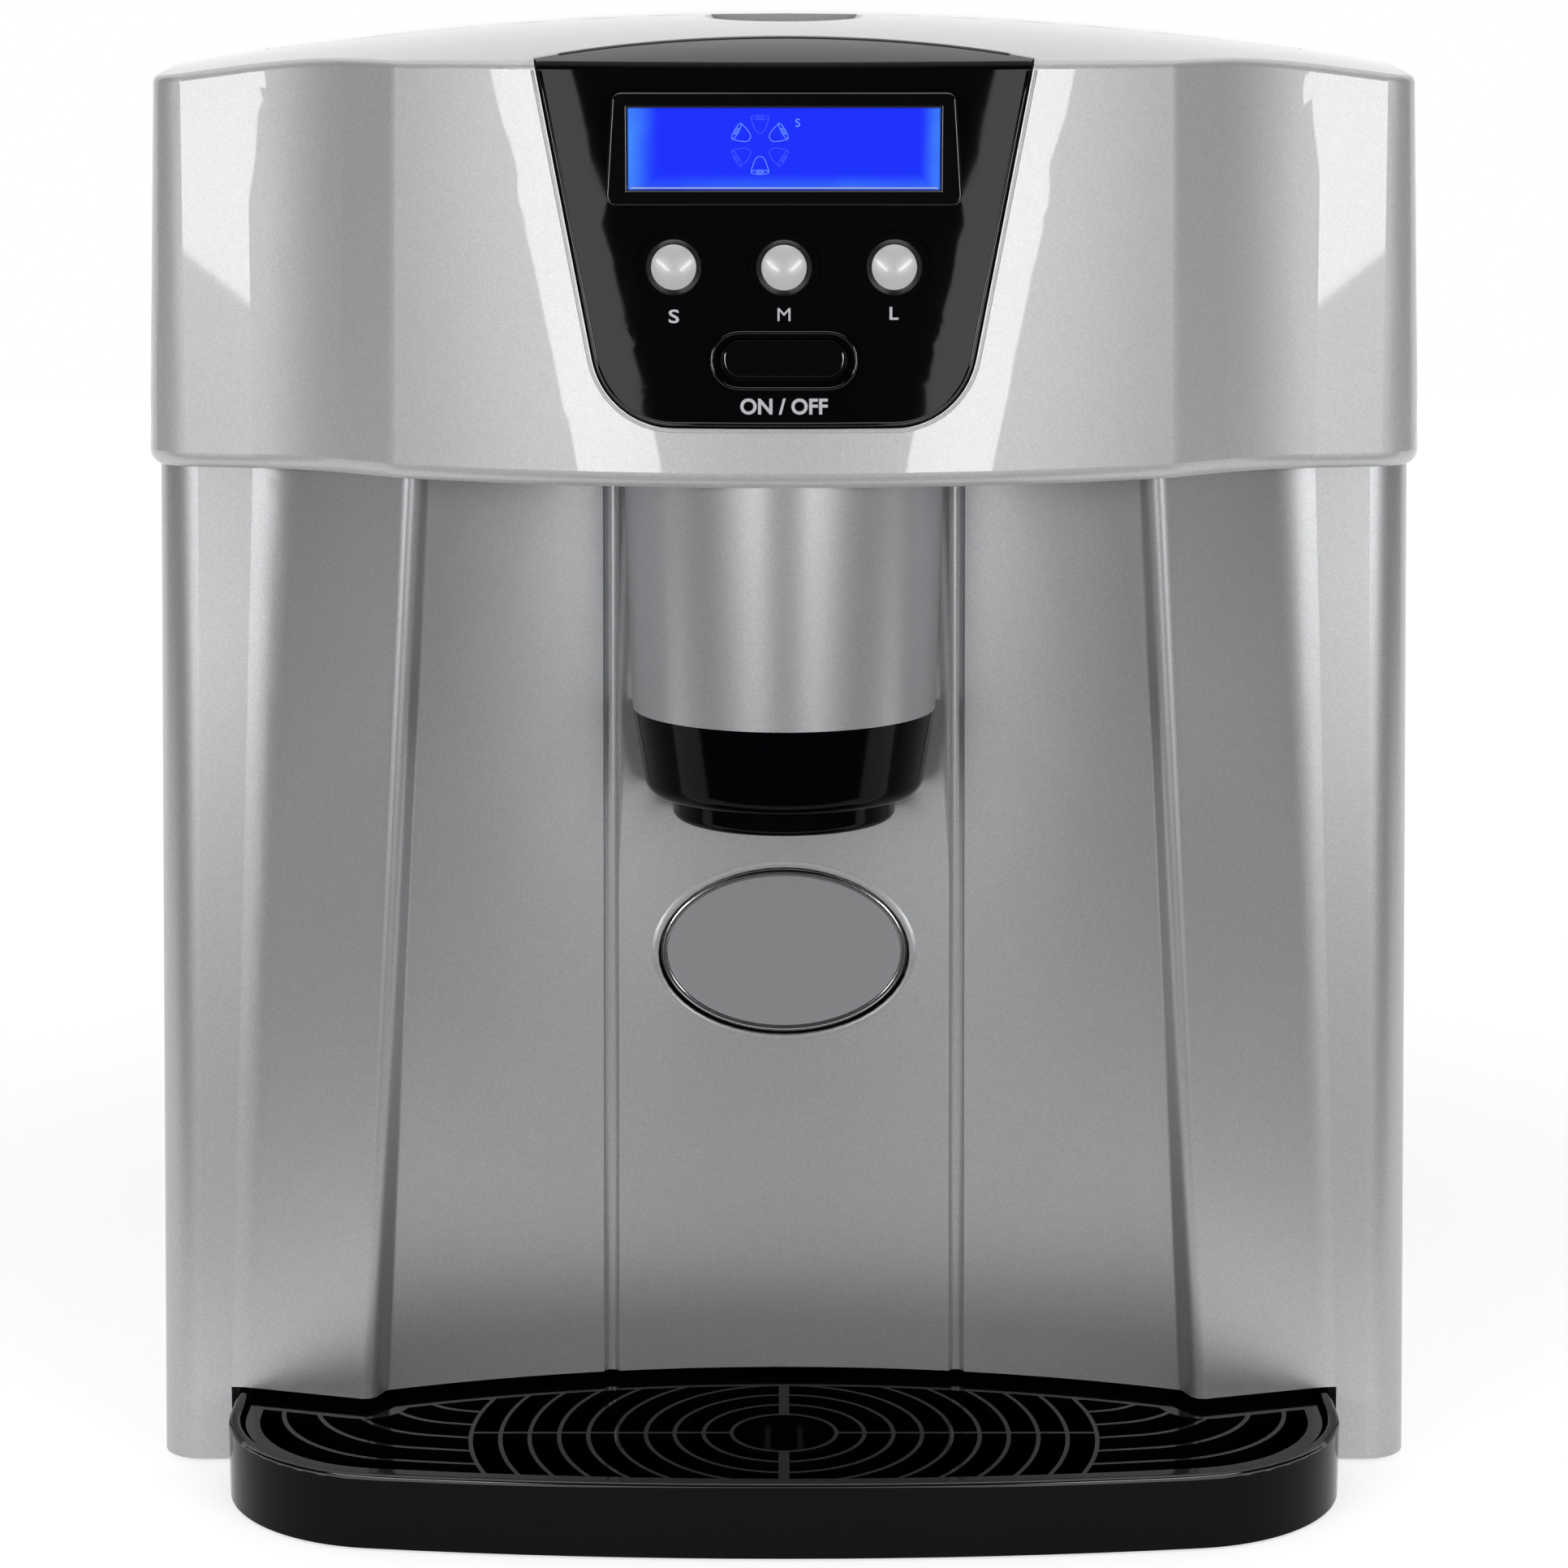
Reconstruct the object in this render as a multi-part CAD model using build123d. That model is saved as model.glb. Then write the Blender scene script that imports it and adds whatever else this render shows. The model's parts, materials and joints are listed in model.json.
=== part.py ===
from build123d import *
import math
import os

# Table-top ice cube maker with a water spout. Millimetres, +Z up, front -Y, mirror plane X = 0.

# Overall sizes
overall_width = 362.0
overall_depth = 430.0
half_width = overall_width / 2
back_y = overall_depth / 2
front_y = -back_y
grille_reach = 44.5           # front of the drip tray to the centre of the grille's rings
axis_y = front_y + grille_reach
seat_gap = 0.3                # rest gap between a piece and its seat
fit_gap = 0.05                # running fit of a pin in its bore
cut_over = 20.0               # how far a cut runs past what it cuts
corner_match = 0.01

# Head shell
head_level = 289.2            # lower lip
head_top_level = 405.0        # upper end of the drafted walls
head_half_width_offset = 2.5
head_half_width = half_width - head_half_width_offset
head_inset_top = 4.5          # draft of the walls between the two levels
head_wall = 2.6
head_front_offset = 14.3
head_front = axis_y - head_front_offset
head_crease_x_offset = 71.5
head_crease_x = head_half_width - head_crease_x_offset
head_crease_y_offset = 9.5
head_crease_y = axis_y + head_crease_y_offset
head_shoulder_x_offset = 45.5
head_shoulder_x = head_half_width - head_shoulder_x_offset
head_shoulder_y_offset = 29.8
head_shoulder_y = axis_y + head_shoulder_y_offset
head_corner_y_offset = 38.3
head_corner_y = axis_y + head_corner_y_offset
head_crease_radius = 12.0
head_shoulder_radius = 60.0
head_corner_radius = 15.0
head_lip_radius = 4.5
head_edge_radius = 2.4
crease_in_share = 0.53        # how each corner of the outline follows an even inset
crease_back_share = 0.85
shoulder_in_share = 0.43
shoulder_back_share = 0.93
corner_back_share = 0.81

# Crowned deck
crown_peak = 415.0
crown_side_radius = 1050.0
crown_front_drop = 21.0
crown_front_run = 16.0        # from the head's front to the first point behind it
crown_start_y = head_front - crown_front_run
crown_drop_shares = (0.43, 0.19, 0.067, 0.02, 0.0)
crown_run_shares = (0.10, 0.18, 0.27, 0.40, 0.65)
crown_tail_drop = 1.5
crown_depth = 230.0

# Cabinet shell
case_floor = 1.5
case_top = 296.0
case_wall = 3.0
case_back_offset = 3.0
case_back = back_y - case_back_offset
case_half_bottom = half_width
case_half_top_offset = 5.7
case_half_top = case_half_bottom - case_half_top_offset
case_corner_radius = 12.0
case_shoulder_radius = 24.0
column_edge_radius = 4.0
niche_corner_radius = 2.0
shoulder_bottom_x_offset = 23.0
shoulder_bottom_x = case_half_bottom - shoulder_bottom_x_offset
shoulder_bottom_y_offset = 29.5
shoulder_bottom_y = axis_y + shoulder_bottom_y_offset
shoulder_top_x_offset = 35.3
shoulder_top_x = case_half_top - shoulder_top_x_offset
shoulder_top_y_offset = 39.5
shoulder_top_y = axis_y + shoulder_top_y_offset
column_bottom_x_offset = 61.5
column_bottom_x = case_half_bottom - column_bottom_x_offset
column_bottom_y_offset = 20.0
column_bottom_y = axis_y + column_bottom_y_offset
column_top_x_offset = 75.3
column_top_x = case_half_top - column_top_x_offset
column_top_y_offset = 9.8
column_top_y = axis_y + column_top_y_offset
niche_bottom_x_offset = 3.3
niche_bottom_x = column_bottom_x - niche_bottom_x_offset
niche_bottom_y_offset = 28.2
niche_bottom_y = axis_y + niche_bottom_y_offset
niche_top_x_offset = 3.0
niche_top_x = column_top_x - niche_top_x_offset
niche_top_y_offset = 17.4
niche_top_y = axis_y + niche_top_y_offset
niche_centre_y_offset = 47.5
niche_centre_y = axis_y + niche_centre_y_offset
column_foot = 23.2            # level where columns and niche wall end over the tray
groove_bottom_x = 50.5
groove_top_x = 48.2
groove_radius = 2.3
groove_sink = 0.5             # the groove's centre line lies this far inside the wall's face
leg_inner_x_offset = 21.0
leg_inner_x = case_half_bottom - leg_inner_x_offset
recess_wall = 2.2
vent_count = 13
vent_pitch = 11.0
vent_width = 4.0
vent_height = 84.0
vent_centre_y_offset = 103.0
vent_centre_y = back_y - vent_centre_y_offset
vent_centre_z = 76.0
rear_opening_half_offset = 33.0
rear_opening_half = case_half_bottom - rear_opening_half_offset
rear_opening_low = 16.0
rear_opening_high = 270.0
rear_ledge = 8.0
rear_inset = 2.0

# Rear panel and what it carries
rear_panel_wall = 2.0
rear_vent_half = 36.0
rear_vent_height = 3.6
rear_vent_pitch = 9.0
rear_vent_rows = 14
rear_vent_low = 110.0
screw_head_radius = 3.4
screw_head_height = 1.4
screw_shank_radius = 1.6
screw_length = 7.0
screw_inset = 5.0
gland_x_offset = 30.0
gland_x = -rear_opening_half + gland_x_offset
gland_z = 42.0
gland_radius = 7.5
gland_flange_radius = 10.5
gland_bore_radius = 3.6
gland_depth = 9.0
drain_x = 70.0
drain_z = 42.0
drain_pocket_half = 16.0
drain_pocket_depth = 14.0
drain_pipe_radius = 8.0
drain_bore_radius = 5.5
drain_pipe_length = 30.0
plug_cap_radius = 11.0
plug_cap_height = 3.0
plug_stem_length = 9.0
plug_tab_height = 3.2
plug_tab_width = 3.0
plug_tab_share = 0.8

# Base pan, feet
pan_level = 3.0
pan_sheet = 1.6
pan_rim = 4.8
foot_radius = 9.0
foot_front_y_offset = 78.5
foot_front_y = axis_y + foot_front_y_offset
foot_back_y_offset = 30.0
foot_back_y = back_y - foot_back_y_offset
foot_x_offset = 31.0
foot_x = case_half_bottom - foot_x_offset
tongue_half_offset = 63.0
tongue_half = case_half_bottom - tongue_half_offset
tongue_reach = 74.0

# Drip tray and grille
tray_half_width_offset = 23.0
tray_half_width = case_half_bottom - tray_half_width_offset
tray_side_front_offset = 30.0
tray_side_front = axis_y - tray_side_front_offset
tray_corner_radius = 50.0
tray_back_offset = 59.5
tray_back = axis_y + tray_back_offset
tray_bottom = 0.8
tray_top = 22.3
tray_rim = 3.5
tray_ledge = 3.2
tray_floor = 2.0
tray_recess_gap = 0.5
grille_top = 20.5
grille_depth = 8.0
grille_gap = 1.2
grille_frame = 4.0
grille_column_gap = 5.0
ring_radii = (14.2, 22.1, 30.3, 38.4, 46.7, 54.6, 62.8, 71.1, 79.3, 87.6)
vane_width = 1.2
rib_pitch = 9.2
rib_count = 7
rib_round_share = 0.6
rib_start_share = 0.4
spine_width = 3.0
bowl_hole_radius = 4.0

# Control panel and its pieces
panel_top_half = 66.0
panel_top_level = 401.0
panel_low_half = 47.7
panel_low_level = 305.6
panel_corner_radius = 22.0
panel_arc_back_offset = 20.0
panel_arc_back = axis_y + panel_arc_back_offset
panel_side_y_offset = 3.5
panel_side_y = axis_y + panel_side_y_offset
panel_gap = 0.5
panel_ledge = 3.5
panel_ledge_wall = 2.0
display_level = 378.9
bezel_half_top = 45.0
bezel_half_low = 47.0
bezel_height = 29.4
bezel_corner = 2.6
bezel_depth = 10.0
bezel_proud = 1.6
window_width = 82.0
window_height = 21.3
lens_sink = 1.3
lens_thickness = 2.0
button_pitch = 29.1
button_level = 348.1
button_radius = 5.95
button_hole_radius = 7.3
button_ring_radius = 9.1
button_ring_proud = 0.9
button_proud = 2.3
button_dome = 1.7
button_travel = 1.5
button_flange_radius = 8.6
button_flange = 1.4
button_stem_radius = 2.5
guide_length = 7.0
power_level = 323.7
power_width = 33.8
power_height = 11.0
power_recess_width = 37.4
power_recess_height = 13.8
power_recess_depth = 1.3
power_proud = 0.5
power_flange = 2.0
board_y_offset = 6.5
board_y = axis_y + board_y_offset
board_half = 50.0
board_low = 316.0
board_high = 392.0
board_thickness = 1.6
switch_height = 4.0
switch_size = 6.4

# Head soffit and spout
soffit_sheet = 2.5
soffit_level = head_level + soffit_sheet
soffit_half = 150.0
spout_y_offset = 34.0
spout_y = axis_y + spout_y_offset  # axis of the round nose
spout_top_radius = 44.4
spout_seam = 222.9
spout_seam_radius = 42.4
spout_wall = 2.4
fairing_flare = 1.0           # how much wider the sides are at the niche wall
collar_bottom = 198.6
collar_radius = 38.7
collar_wall = 4.4
collar_floor = 3.0
collar_edge = 5.0
collar_spigot = 6.0
ring_bottom = 191.5
ring_radius = 31.4
ring_edge = 2.4
ring_spigot = 6.0
ring_spigot_wall = 2.5
bore_y_offset = 24.0
bore_y = axis_y + bore_y_offset
bore_radius = 18.0
nozzle_radius = 5.0
nozzle_bore = 3.4
nozzle_end = 232.0
valve_depth = 30.0
valve_front_y = bore_y - valve_depth / 2
valve_half = 16.0
valve_height = 34.0
valve_coil_radius = 12.0
valve_coil_height = 20.0
valve_port_share = 0.6

# Dispense lever
lever_level = 149.0
lever_half_width = 35.5
lever_half_height = 24.0
lever_gap = 2.0
lever_proud = 1.0
lever_thickness = 4.0
lever_face_inset = 1.8
lever_face_thickness = 1.2
lever_pivot_level = 197.0
lever_pivot_y_offset = 58.0
lever_pivot_y = axis_y + lever_pivot_y_offset
lever_arm_x = 16.0
lever_arm_width = 6.0
lever_arm_depth = 5.0
lever_hub_radius = 4.5
lever_pin_radius = 2.0
bracket_half = 27.0
bracket_cheek = 2.5
bracket_front_y_offset = 51.1
bracket_front_y = axis_y + bracket_front_y_offset
bracket_back_y_offset = 75.3
bracket_back_y = axis_y + bracket_back_y_offset
bracket_low = 138.0
bracket_high = 205.0
bracket_sheet = 1.5
microswitch_width = 20.0
microswitch_height = 12.0
microswitch_depth = 7.2

# Ice chamber
lid_front_offset = 80.0
lid_front = axis_y + lid_front_offset
lid_half_offset = 28.5
lid_half = head_half_width - lid_half_offset
lid_back_offset = 89.0
lid_back = back_y - lid_back_offset
lid_corner = 26.0
lid_gap = 0.6
lid_skirt = 2.0
lid_axis_y_offset = 85.0
lid_axis_y = back_y - lid_axis_y_offset
lid_axis_z = 406.0
lid_knuckle_radius = 3.5
lid_pin_radius = 1.5
knuckle_inner = 62.0
knuckle_outer = 96.0
lug_width = 4.0
trough_back_offset = 73.0
trough_back = back_y - trough_back_offset
trough_level = 398.0
trough_corner = 8.0
well_wall = 2.5
flange_level = 388.0
flange_sheet = 2.5
scoop_radius = 32.0
scoop_depth = 7.5
scoop_lead = 10.0             # how far its deepest point lies in front of the lid
scoop_wall = 2.0
chamber_half_offset = 10.0
chamber_half = lid_half - chamber_half_offset
chamber_front_offset = 88.5
chamber_front = axis_y + chamber_front_offset
chamber_back_offset = 96.0
chamber_back = back_y - chamber_back_offset
chamber_floor = 150.0
chamber_wall = 2.5
chamber_corner = 16.0
shelf_level = 178.0
shelf_width = 4.5
shelf_height = 4.0
foam_thickness = 11.0
foam_low = 166.0

# Ice basket and ramp
basket_clearance = 1.5
basket_back_offset = 75.0
basket_back = chamber_front + basket_back_offset
basket_rim = 255.0
basket_wall = 2.0
basket_corner = 13.0
basket_slot = 3.4
basket_slot_pitch = 16.0
basket_slot_margin = 28.0
basket_slot_inset = 11.0
basket_grip_width = 60.0
basket_grip_height = 14.0
basket_grip_drop = 16.8
ramp_y_offset = 3.0
ramp_y = basket_back + ramp_y_offset
ramp_level = 259.0
ramp_back_level = 280.0
ramp_sheet = 2.2
ramp_slot_pitch = 14.4
ramp_slot_margin = 24.0

# Ice maker
tilt_y_offset = 130.0
tilt_y = back_y - tilt_y_offset
tilt_z = 352.0
finger_radius = 4.2
finger_length = 22.0
finger_tip = 322.0
front_fingers = 5
back_fingers = 4
finger_margin = 16.0
front_row_y_offset = 41.0
front_row_y = tilt_y - front_row_y_offset
back_row_y_offset = 22.0
back_row_y = tilt_y - back_row_y_offset
motor_inner_offset = 40.0
motor_inner = chamber_half - motor_inner_offset
dish_half_offset = 8.0
dish_half = motor_inner - dish_half_offset
evaporator_half_offset = 4.0
evaporator_half = dish_half - evaporator_half_offset
finger_pitch = 2 * (evaporator_half - finger_margin) / (front_fingers - 1)
evaporator_plate = 8.0
evaporator_margin = 7.0
evaporator_tube = 4.5
evaporator_tube_x_offset = 18.0
evaporator_tube_x = evaporator_half - evaporator_tube_x_offset
evaporator_tube_level = 366.0
hanger_front_offset = 36.0
hanger_front = tilt_y - hanger_front_offset
hanger_back_offset = 20.0
hanger_back = tilt_y - hanger_back_offset
hanger_low = 356.0
hanger_sheet = 4.0
dish_wall = 2.0
dish_front_top = -60.0        # the dish's section, from its tilting axis
dish_front_low = -55.0
dish_back_low = -13.0
dish_back_top = -1.0
dish_rim_drop = -5.0
dish_back_drop = -2.0
dish_floor_front = -41.0
dish_floor_back = -39.0
dish_back_share = 0.8         # how much of the wall the slanted sides take up
dish_front_share = 0.9
journal_radius = 3.0
journal_length = 15.0
ear_half = 6.5
motor_half_y = 17.0
motor_half_z = 21.0
bearing_half = 9.0
flap_axis_y_offset = 64.0
flap_axis_y = tilt_y - flap_axis_y_offset
flap_axis_z = 373.0
flap_half_offset = 7.0
flap_half = dish_half - flap_half_offset
flap_sheet = 2.0
flap_low = 338.0
flap_hub = 3.5
flap_journal = 2.0
flap_slot = 14.0
flap_plate_inner_offset = 5.0
flap_plate_inner = flap_half + flap_plate_inner_offset
flap_plate = 3.0
sensor_radius = 3.0
sensor_level = 300.0
sensor_y_offset = 38.0
sensor_y = chamber_front + sensor_y_offset

# Water and cooling circuit
strainer_radius = 16.0
strainer_height = 5.0
strainer_slots = 8
strainer_slot_length = 8.0
strainer_slot_width = 2.5
strainer_slot_centre = 9.9
condenser_x_offset = 39.0
condenser_x = case_half_bottom - condenser_x_offset
shroud_x_offset = 18.0
shroud_x = condenser_x - shroud_x_offset
sump_x_offset = 69.0
sump_x = shroud_x - sump_x_offset
sump_y_offset = 92.0
sump_y = chamber_front + sump_y_offset
pump_radius = 21.0
pump_height = 46.0
pump_can_height = 39.1
pump_inlet_radius = 9.6
pump_outlet_radius = 5.6
hose_radius = 4.0
hose_bore = 2.6
hose_bend = 7.2
hose_tight_bend = 4.8
hose_stand_off = 10.4
tank_hose_radius = 6.0
tank_hose_bore = 4.2
compressor_x_offset = 86.0
compressor_x = -case_half_bottom + compressor_x_offset
compressor_y_offset = 65.0
compressor_y = back_y - compressor_y_offset
compressor_radius = 50.0
compressor_top = 134.0
compressor_round = 22.0
compressor_plate = 3.0
grommet_height = 9.0
grommet_radius = 8.0
grommet_offset = 42.0
condenser_width = 22.0
condenser_front_offset = 179.0
condenser_front = back_y - condenser_front_offset
condenser_back_offset = 19.0
condenser_back = back_y - condenser_back_offset
condenser_low = 8.0
condenser_high = 130.0
condenser_fins = 22
condenser_fin = 1.4
condenser_tube = 4.0
condenser_rows = 6
shroud_sheet = 3.0
shroud_bore = 50.0
shroud_ring = 3.0
shroud_depth = 12.0
fan_y = (condenser_front + condenser_back) / 2
fan_z = 69.0
fan_radius = 47.0
fan_hub = 14.0
fan_blades_count = 5
fan_blade = 1.8
fan_blade_width = 13.0
fan_pitch_angle = 35.0
fan_shaft = 2.5
motor_radius = 21.0
motor_length = 30.0
strut_width = 8.0
strut_turns = (90, 210, 330)
drier_x_offset = 87.0
drier_x = compressor_x + drier_x_offset
drier_radius = 8.0
drier_length = 60.0
drier_strap_half = 6.0
line_radius = 3.0
line_tight_bend = 5.4
liquid_line_reach = 28.0
board_block = 26.0
power_board_x_offset = 81.0
power_board_x = -case_half_bottom + power_board_x_offset
power_board_y_offset = 108.5
power_board_y = axis_y + power_board_y_offset
power_board_half_x = 48.0
power_board_half_y = 28.0
power_board_post = 14.0
post_share_x = 0.85
post_share_y = 0.8
board_block_shares = ((-0.5, 1.0), (0.1, 0.7), (0.6, 0.5))


def block(x0, x1, y0, y1, z0, z1):
    """A box between two corners."""
    return Pos((x0 + x1) / 2, (y0 + y1) / 2, (z0 + z1) / 2) * Box(x1 - x0, y1 - y0, z1 - z0)


def rod_z(radius, x, y, z0, z1):
    return Pos(x, y, (z0 + z1) / 2) * Cylinder(radius, z1 - z0)


def rod_y(radius, x, z, y0, y1):
    return Pos(x, (y0 + y1) / 2, z) * Rot(X=90) * Cylinder(radius, y1 - y0)


def rod_x(radius, y, z, x0, x1):
    return Pos((x0 + x1) / 2, y, z) * Rot(Y=90) * Cylinder(radius, x1 - x0)


def upright(face, z0, z1):
    """A plan outline raised between two levels."""
    return extrude(Pos(0, 0, z0) * face, z1 - z0)


def facing(face, x, z, y0, y1):
    """An outline seen from the front, run between two depths."""
    plane = Plane(origin=(x, y1, z), x_dir=(1, 0, 0), z_dir=(0, -1, 0))
    return extrude(plane * face, y1 - y0)


def side_section(points, x0, x1):
    """A closed outline of (y, z) points, run sideways."""
    outline = make_face(Polyline(*[(x0, y, z) for y, z in points], close=True))
    return extrude(outline, x1 - x0, dir=(1, 0, 0))


def round_at(face, x, y, radius):
    """Rounds the mirrored pair of corners at x and y."""
    for side in (-1, 1):
        picked = [v for v in face.vertices() if abs(v.X - side * x) < corner_match
                  and abs(v.Y - y) < corner_match]
        face = fillet(picked, radius)
    return face


def rounded_plan(half, y0, y1, front_radius, back_radius):
    """A rectangle in plan with its own front and back corner radius."""
    face = make_face(Polyline((half, y0), (half, y1), (-half, y1), (-half, y0), close=True))
    return round_at(round_at(face, half, y0, front_radius), half, y1, back_radius)


def tube(points, bends, radius, bore):
    """A pipe or hose along straight runs and tangent arcs."""
    path = FilletPolyline(*points, radius=bends)
    start = Plane(origin=path @ 0, z_dir=path % 0)
    outside = sweep(start * Circle(radius), path=path)
    if bore == 0:
        return outside
    return outside - sweep(start * Circle(bore), path=path)


# Head forms

def head_outline(inset):
    crease_x = head_crease_x - inset * crease_in_share
    crease_y = head_crease_y + inset * crease_back_share
    shoulder_x = head_shoulder_x - inset * shoulder_in_share
    shoulder_y = head_shoulder_y + inset * shoulder_back_share
    half = head_half_width - inset
    corner_y = head_corner_y + inset * corner_back_share
    rear = back_y - inset
    front = ThreePointArc((-crease_x, crease_y), (0, head_front + inset), (crease_x, crease_y))
    rest = Polyline((crease_x, crease_y), (shoulder_x, shoulder_y), (half, corner_y), (half, rear),
                    (-half, rear), (-half, corner_y), (-shoulder_x, shoulder_y), (-crease_x, crease_y))
    face = make_face([front] + list(rest.edges()))
    face = round_at(face, crease_x, crease_y, head_crease_radius - inset)
    face = round_at(face, shoulder_x, shoulder_y, head_shoulder_radius + inset)
    face = round_at(face, half, corner_y, head_corner_radius - inset)
    return round_at(face, half, rear, head_corner_radius - inset)


def head_lean(level):
    """How far the drafted walls have moved in at a level."""
    return head_inset_top * (level - head_level) / (head_top_level - head_level)


def panel_surface(x, level):
    """The depth of the head's front face at a place."""
    sag = head_crease_y - head_front
    arc_radius = (head_crease_x ** 2 + sag ** 2) / (2 * sag)
    return head_front + head_lean(level) + arc_radius - math.sqrt(arc_radius ** 2 - x ** 2)


def crown(drop):
    """All that lies under the crowned deck, lowered by the given drop."""
    top = crown_peak - drop
    length = back_y - crown_start_y
    points = [(0, crown_start_y, top - crown_front_drop)]
    for run, low in zip(crown_run_shares, crown_drop_shares):
        points.append((0, crown_start_y + run * length, top - low * crown_front_drop))
    tail_y = back_y + cut_over
    points.append((0, tail_y, top - crown_tail_drop))
    base = crown_peak - crown_depth
    low_line = Polyline((0, tail_y, top - crown_tail_drop), (0, tail_y, base), (0, crown_start_y, base),
                        (0, crown_start_y, top - crown_front_drop))
    section = make_face([Spline(*points)] + list(low_line.edges()))
    axis_z = crown_peak - crown_side_radius
    swing = math.degrees(math.asin((head_half_width + cut_over) / (crown_side_radius - crown_depth)))
    hinge = Axis((0, 0, axis_z), (0, 1, 0))
    return revolve(section.rotate(hinge, -swing), hinge, 2 * swing)


def head_block(inset):
    """The head's form, drawn in by an even inset."""
    low = Pos(0, 0, head_level) * head_outline(inset)
    high = Pos(0, 0, head_top_level + cut_over) * head_outline(
        inset + head_lean(head_top_level + cut_over))
    walls = loft([low, high], ruled=True)
    if inset == 0:
        walls = fillet(walls.faces().sort_by(Axis.Z)[0].edges(), head_lip_radius)
    form = walls & crown(inset)
    if inset == 0:
        form = fillet(deck_edges(form), head_edge_radius)
    return form


def deck_edges(form):
    """The edges where the deck meets the walls."""
    low = head_top_level - 3 * head_inset_top
    return [e for e in form.edges() if e.bounding_box().min.Z > low - head_edge_radius]


def panel_front_outline(grow):
    """The black panel seen from the front."""
    slope = (panel_top_half - panel_low_half) / (panel_top_level - panel_low_level)
    high = crown_peak + cut_over
    high_half = panel_top_half + slope * (high - panel_top_level)
    face = make_face(Polyline((panel_low_half + grow, panel_low_level - grow), (high_half + grow, high),
                              (-high_half - grow, high), (-panel_low_half - grow, panel_low_level - grow),
                              close=True))
    return round_at(face, panel_low_half + grow, panel_low_level - grow, panel_corner_radius + grow)


def panel_prism(grow):
    """The space that the black panel takes, front and deck."""
    ahead = head_front - cut_over
    front = facing(panel_front_outline(grow), 0, 0, ahead, panel_side_y + grow)
    half = panel_top_half + grow
    side = panel_side_y + grow
    arc = ThreePointArc((half, side), (0, panel_arc_back + grow), (-half, side))
    lap = side - panel_gap
    back = make_face([arc] + list(Polyline((-half, side), (-half, lap), (half, lap),
                                           (half, side)).edges()))
    deck = upright(back, head_top_level - 2 * head_inset_top, crown_peak + cut_over)
    return front + deck


# Cabinet forms

def case_values(level):
    """The cabinet's plan sizes at a level."""
    share = (level - case_floor) / (case_top - case_floor)

    def between(low, high):
        return low + (high - low) * share

    return {
        "half": between(case_half_bottom, case_half_top),
        "shoulder": (between(shoulder_bottom_x, shoulder_top_x), between(shoulder_bottom_y, shoulder_top_y)),
        "column": (between(column_bottom_x, column_top_x), between(column_bottom_y, column_top_y)),
        "niche": (between(niche_bottom_x, niche_top_x), between(niche_bottom_y, niche_top_y)),
    }


def case_outline(level):
    sizes = case_values(level)
    half = sizes["half"]
    shoulder_x, shoulder_y = sizes["shoulder"]
    column_x, column_y = sizes["column"]
    niche_x, niche_y = sizes["niche"]
    wall = ThreePointArc((-niche_x, niche_y), (0, niche_centre_y), (niche_x, niche_y))
    rest = Polyline((niche_x, niche_y), (column_x, column_y), (shoulder_x, shoulder_y), (half, shoulder_y),
                    (half, case_back), (-half, case_back), (-half, shoulder_y), (-shoulder_x, shoulder_y),
                    (-column_x, column_y), (-niche_x, niche_y))
    face = make_face([wall] + list(rest.edges()))
    face = round_at(face, column_x, column_y, column_edge_radius)
    face = round_at(face, shoulder_x, shoulder_y, case_shoulder_radius)
    face = round_at(face, half, shoulder_y, case_corner_radius)
    face = round_at(face, half, case_back, case_corner_radius)
    return round_at(face, niche_x, niche_y, niche_corner_radius)


def niche_wall_y(x, level):
    """The depth of the niche wall's face at a place."""
    niche_x, niche_y = case_values(level)["niche"]
    sag = niche_centre_y - niche_y
    arc_radius = (niche_x ** 2 + sag ** 2) / (2 * sag)
    return niche_centre_y - arc_radius + math.sqrt(arc_radius ** 2 - x ** 2)


def case_block(inset, low, high):
    """The cabinet's form between two levels, drawn in by an inset."""
    faces = []
    for level in (low, high):
        outline = case_outline(level)
        if inset != 0:
            outline = offset(outline, -inset, kind=Kind.INTERSECTION)
        faces.append(Pos(0, 0, level) * outline)
    return loft(faces, ruled=True)


def vent_slots(side):
    """Upright air slots through one side wall."""
    slot = Rot(Y=90) * SlotOverall(vent_height, vent_width)
    inner = case_values(vent_centre_z)["half"] - cut_over
    slots = []
    for index in range(vent_count):
        y = vent_centre_y + (index - (vent_count - 1) / 2) * vent_pitch
        slots.append(extrude(Pos(side * inner, y, vent_centre_z) * slot, 2 * cut_over, dir=(side, 0, 0)))
    return slots


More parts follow.
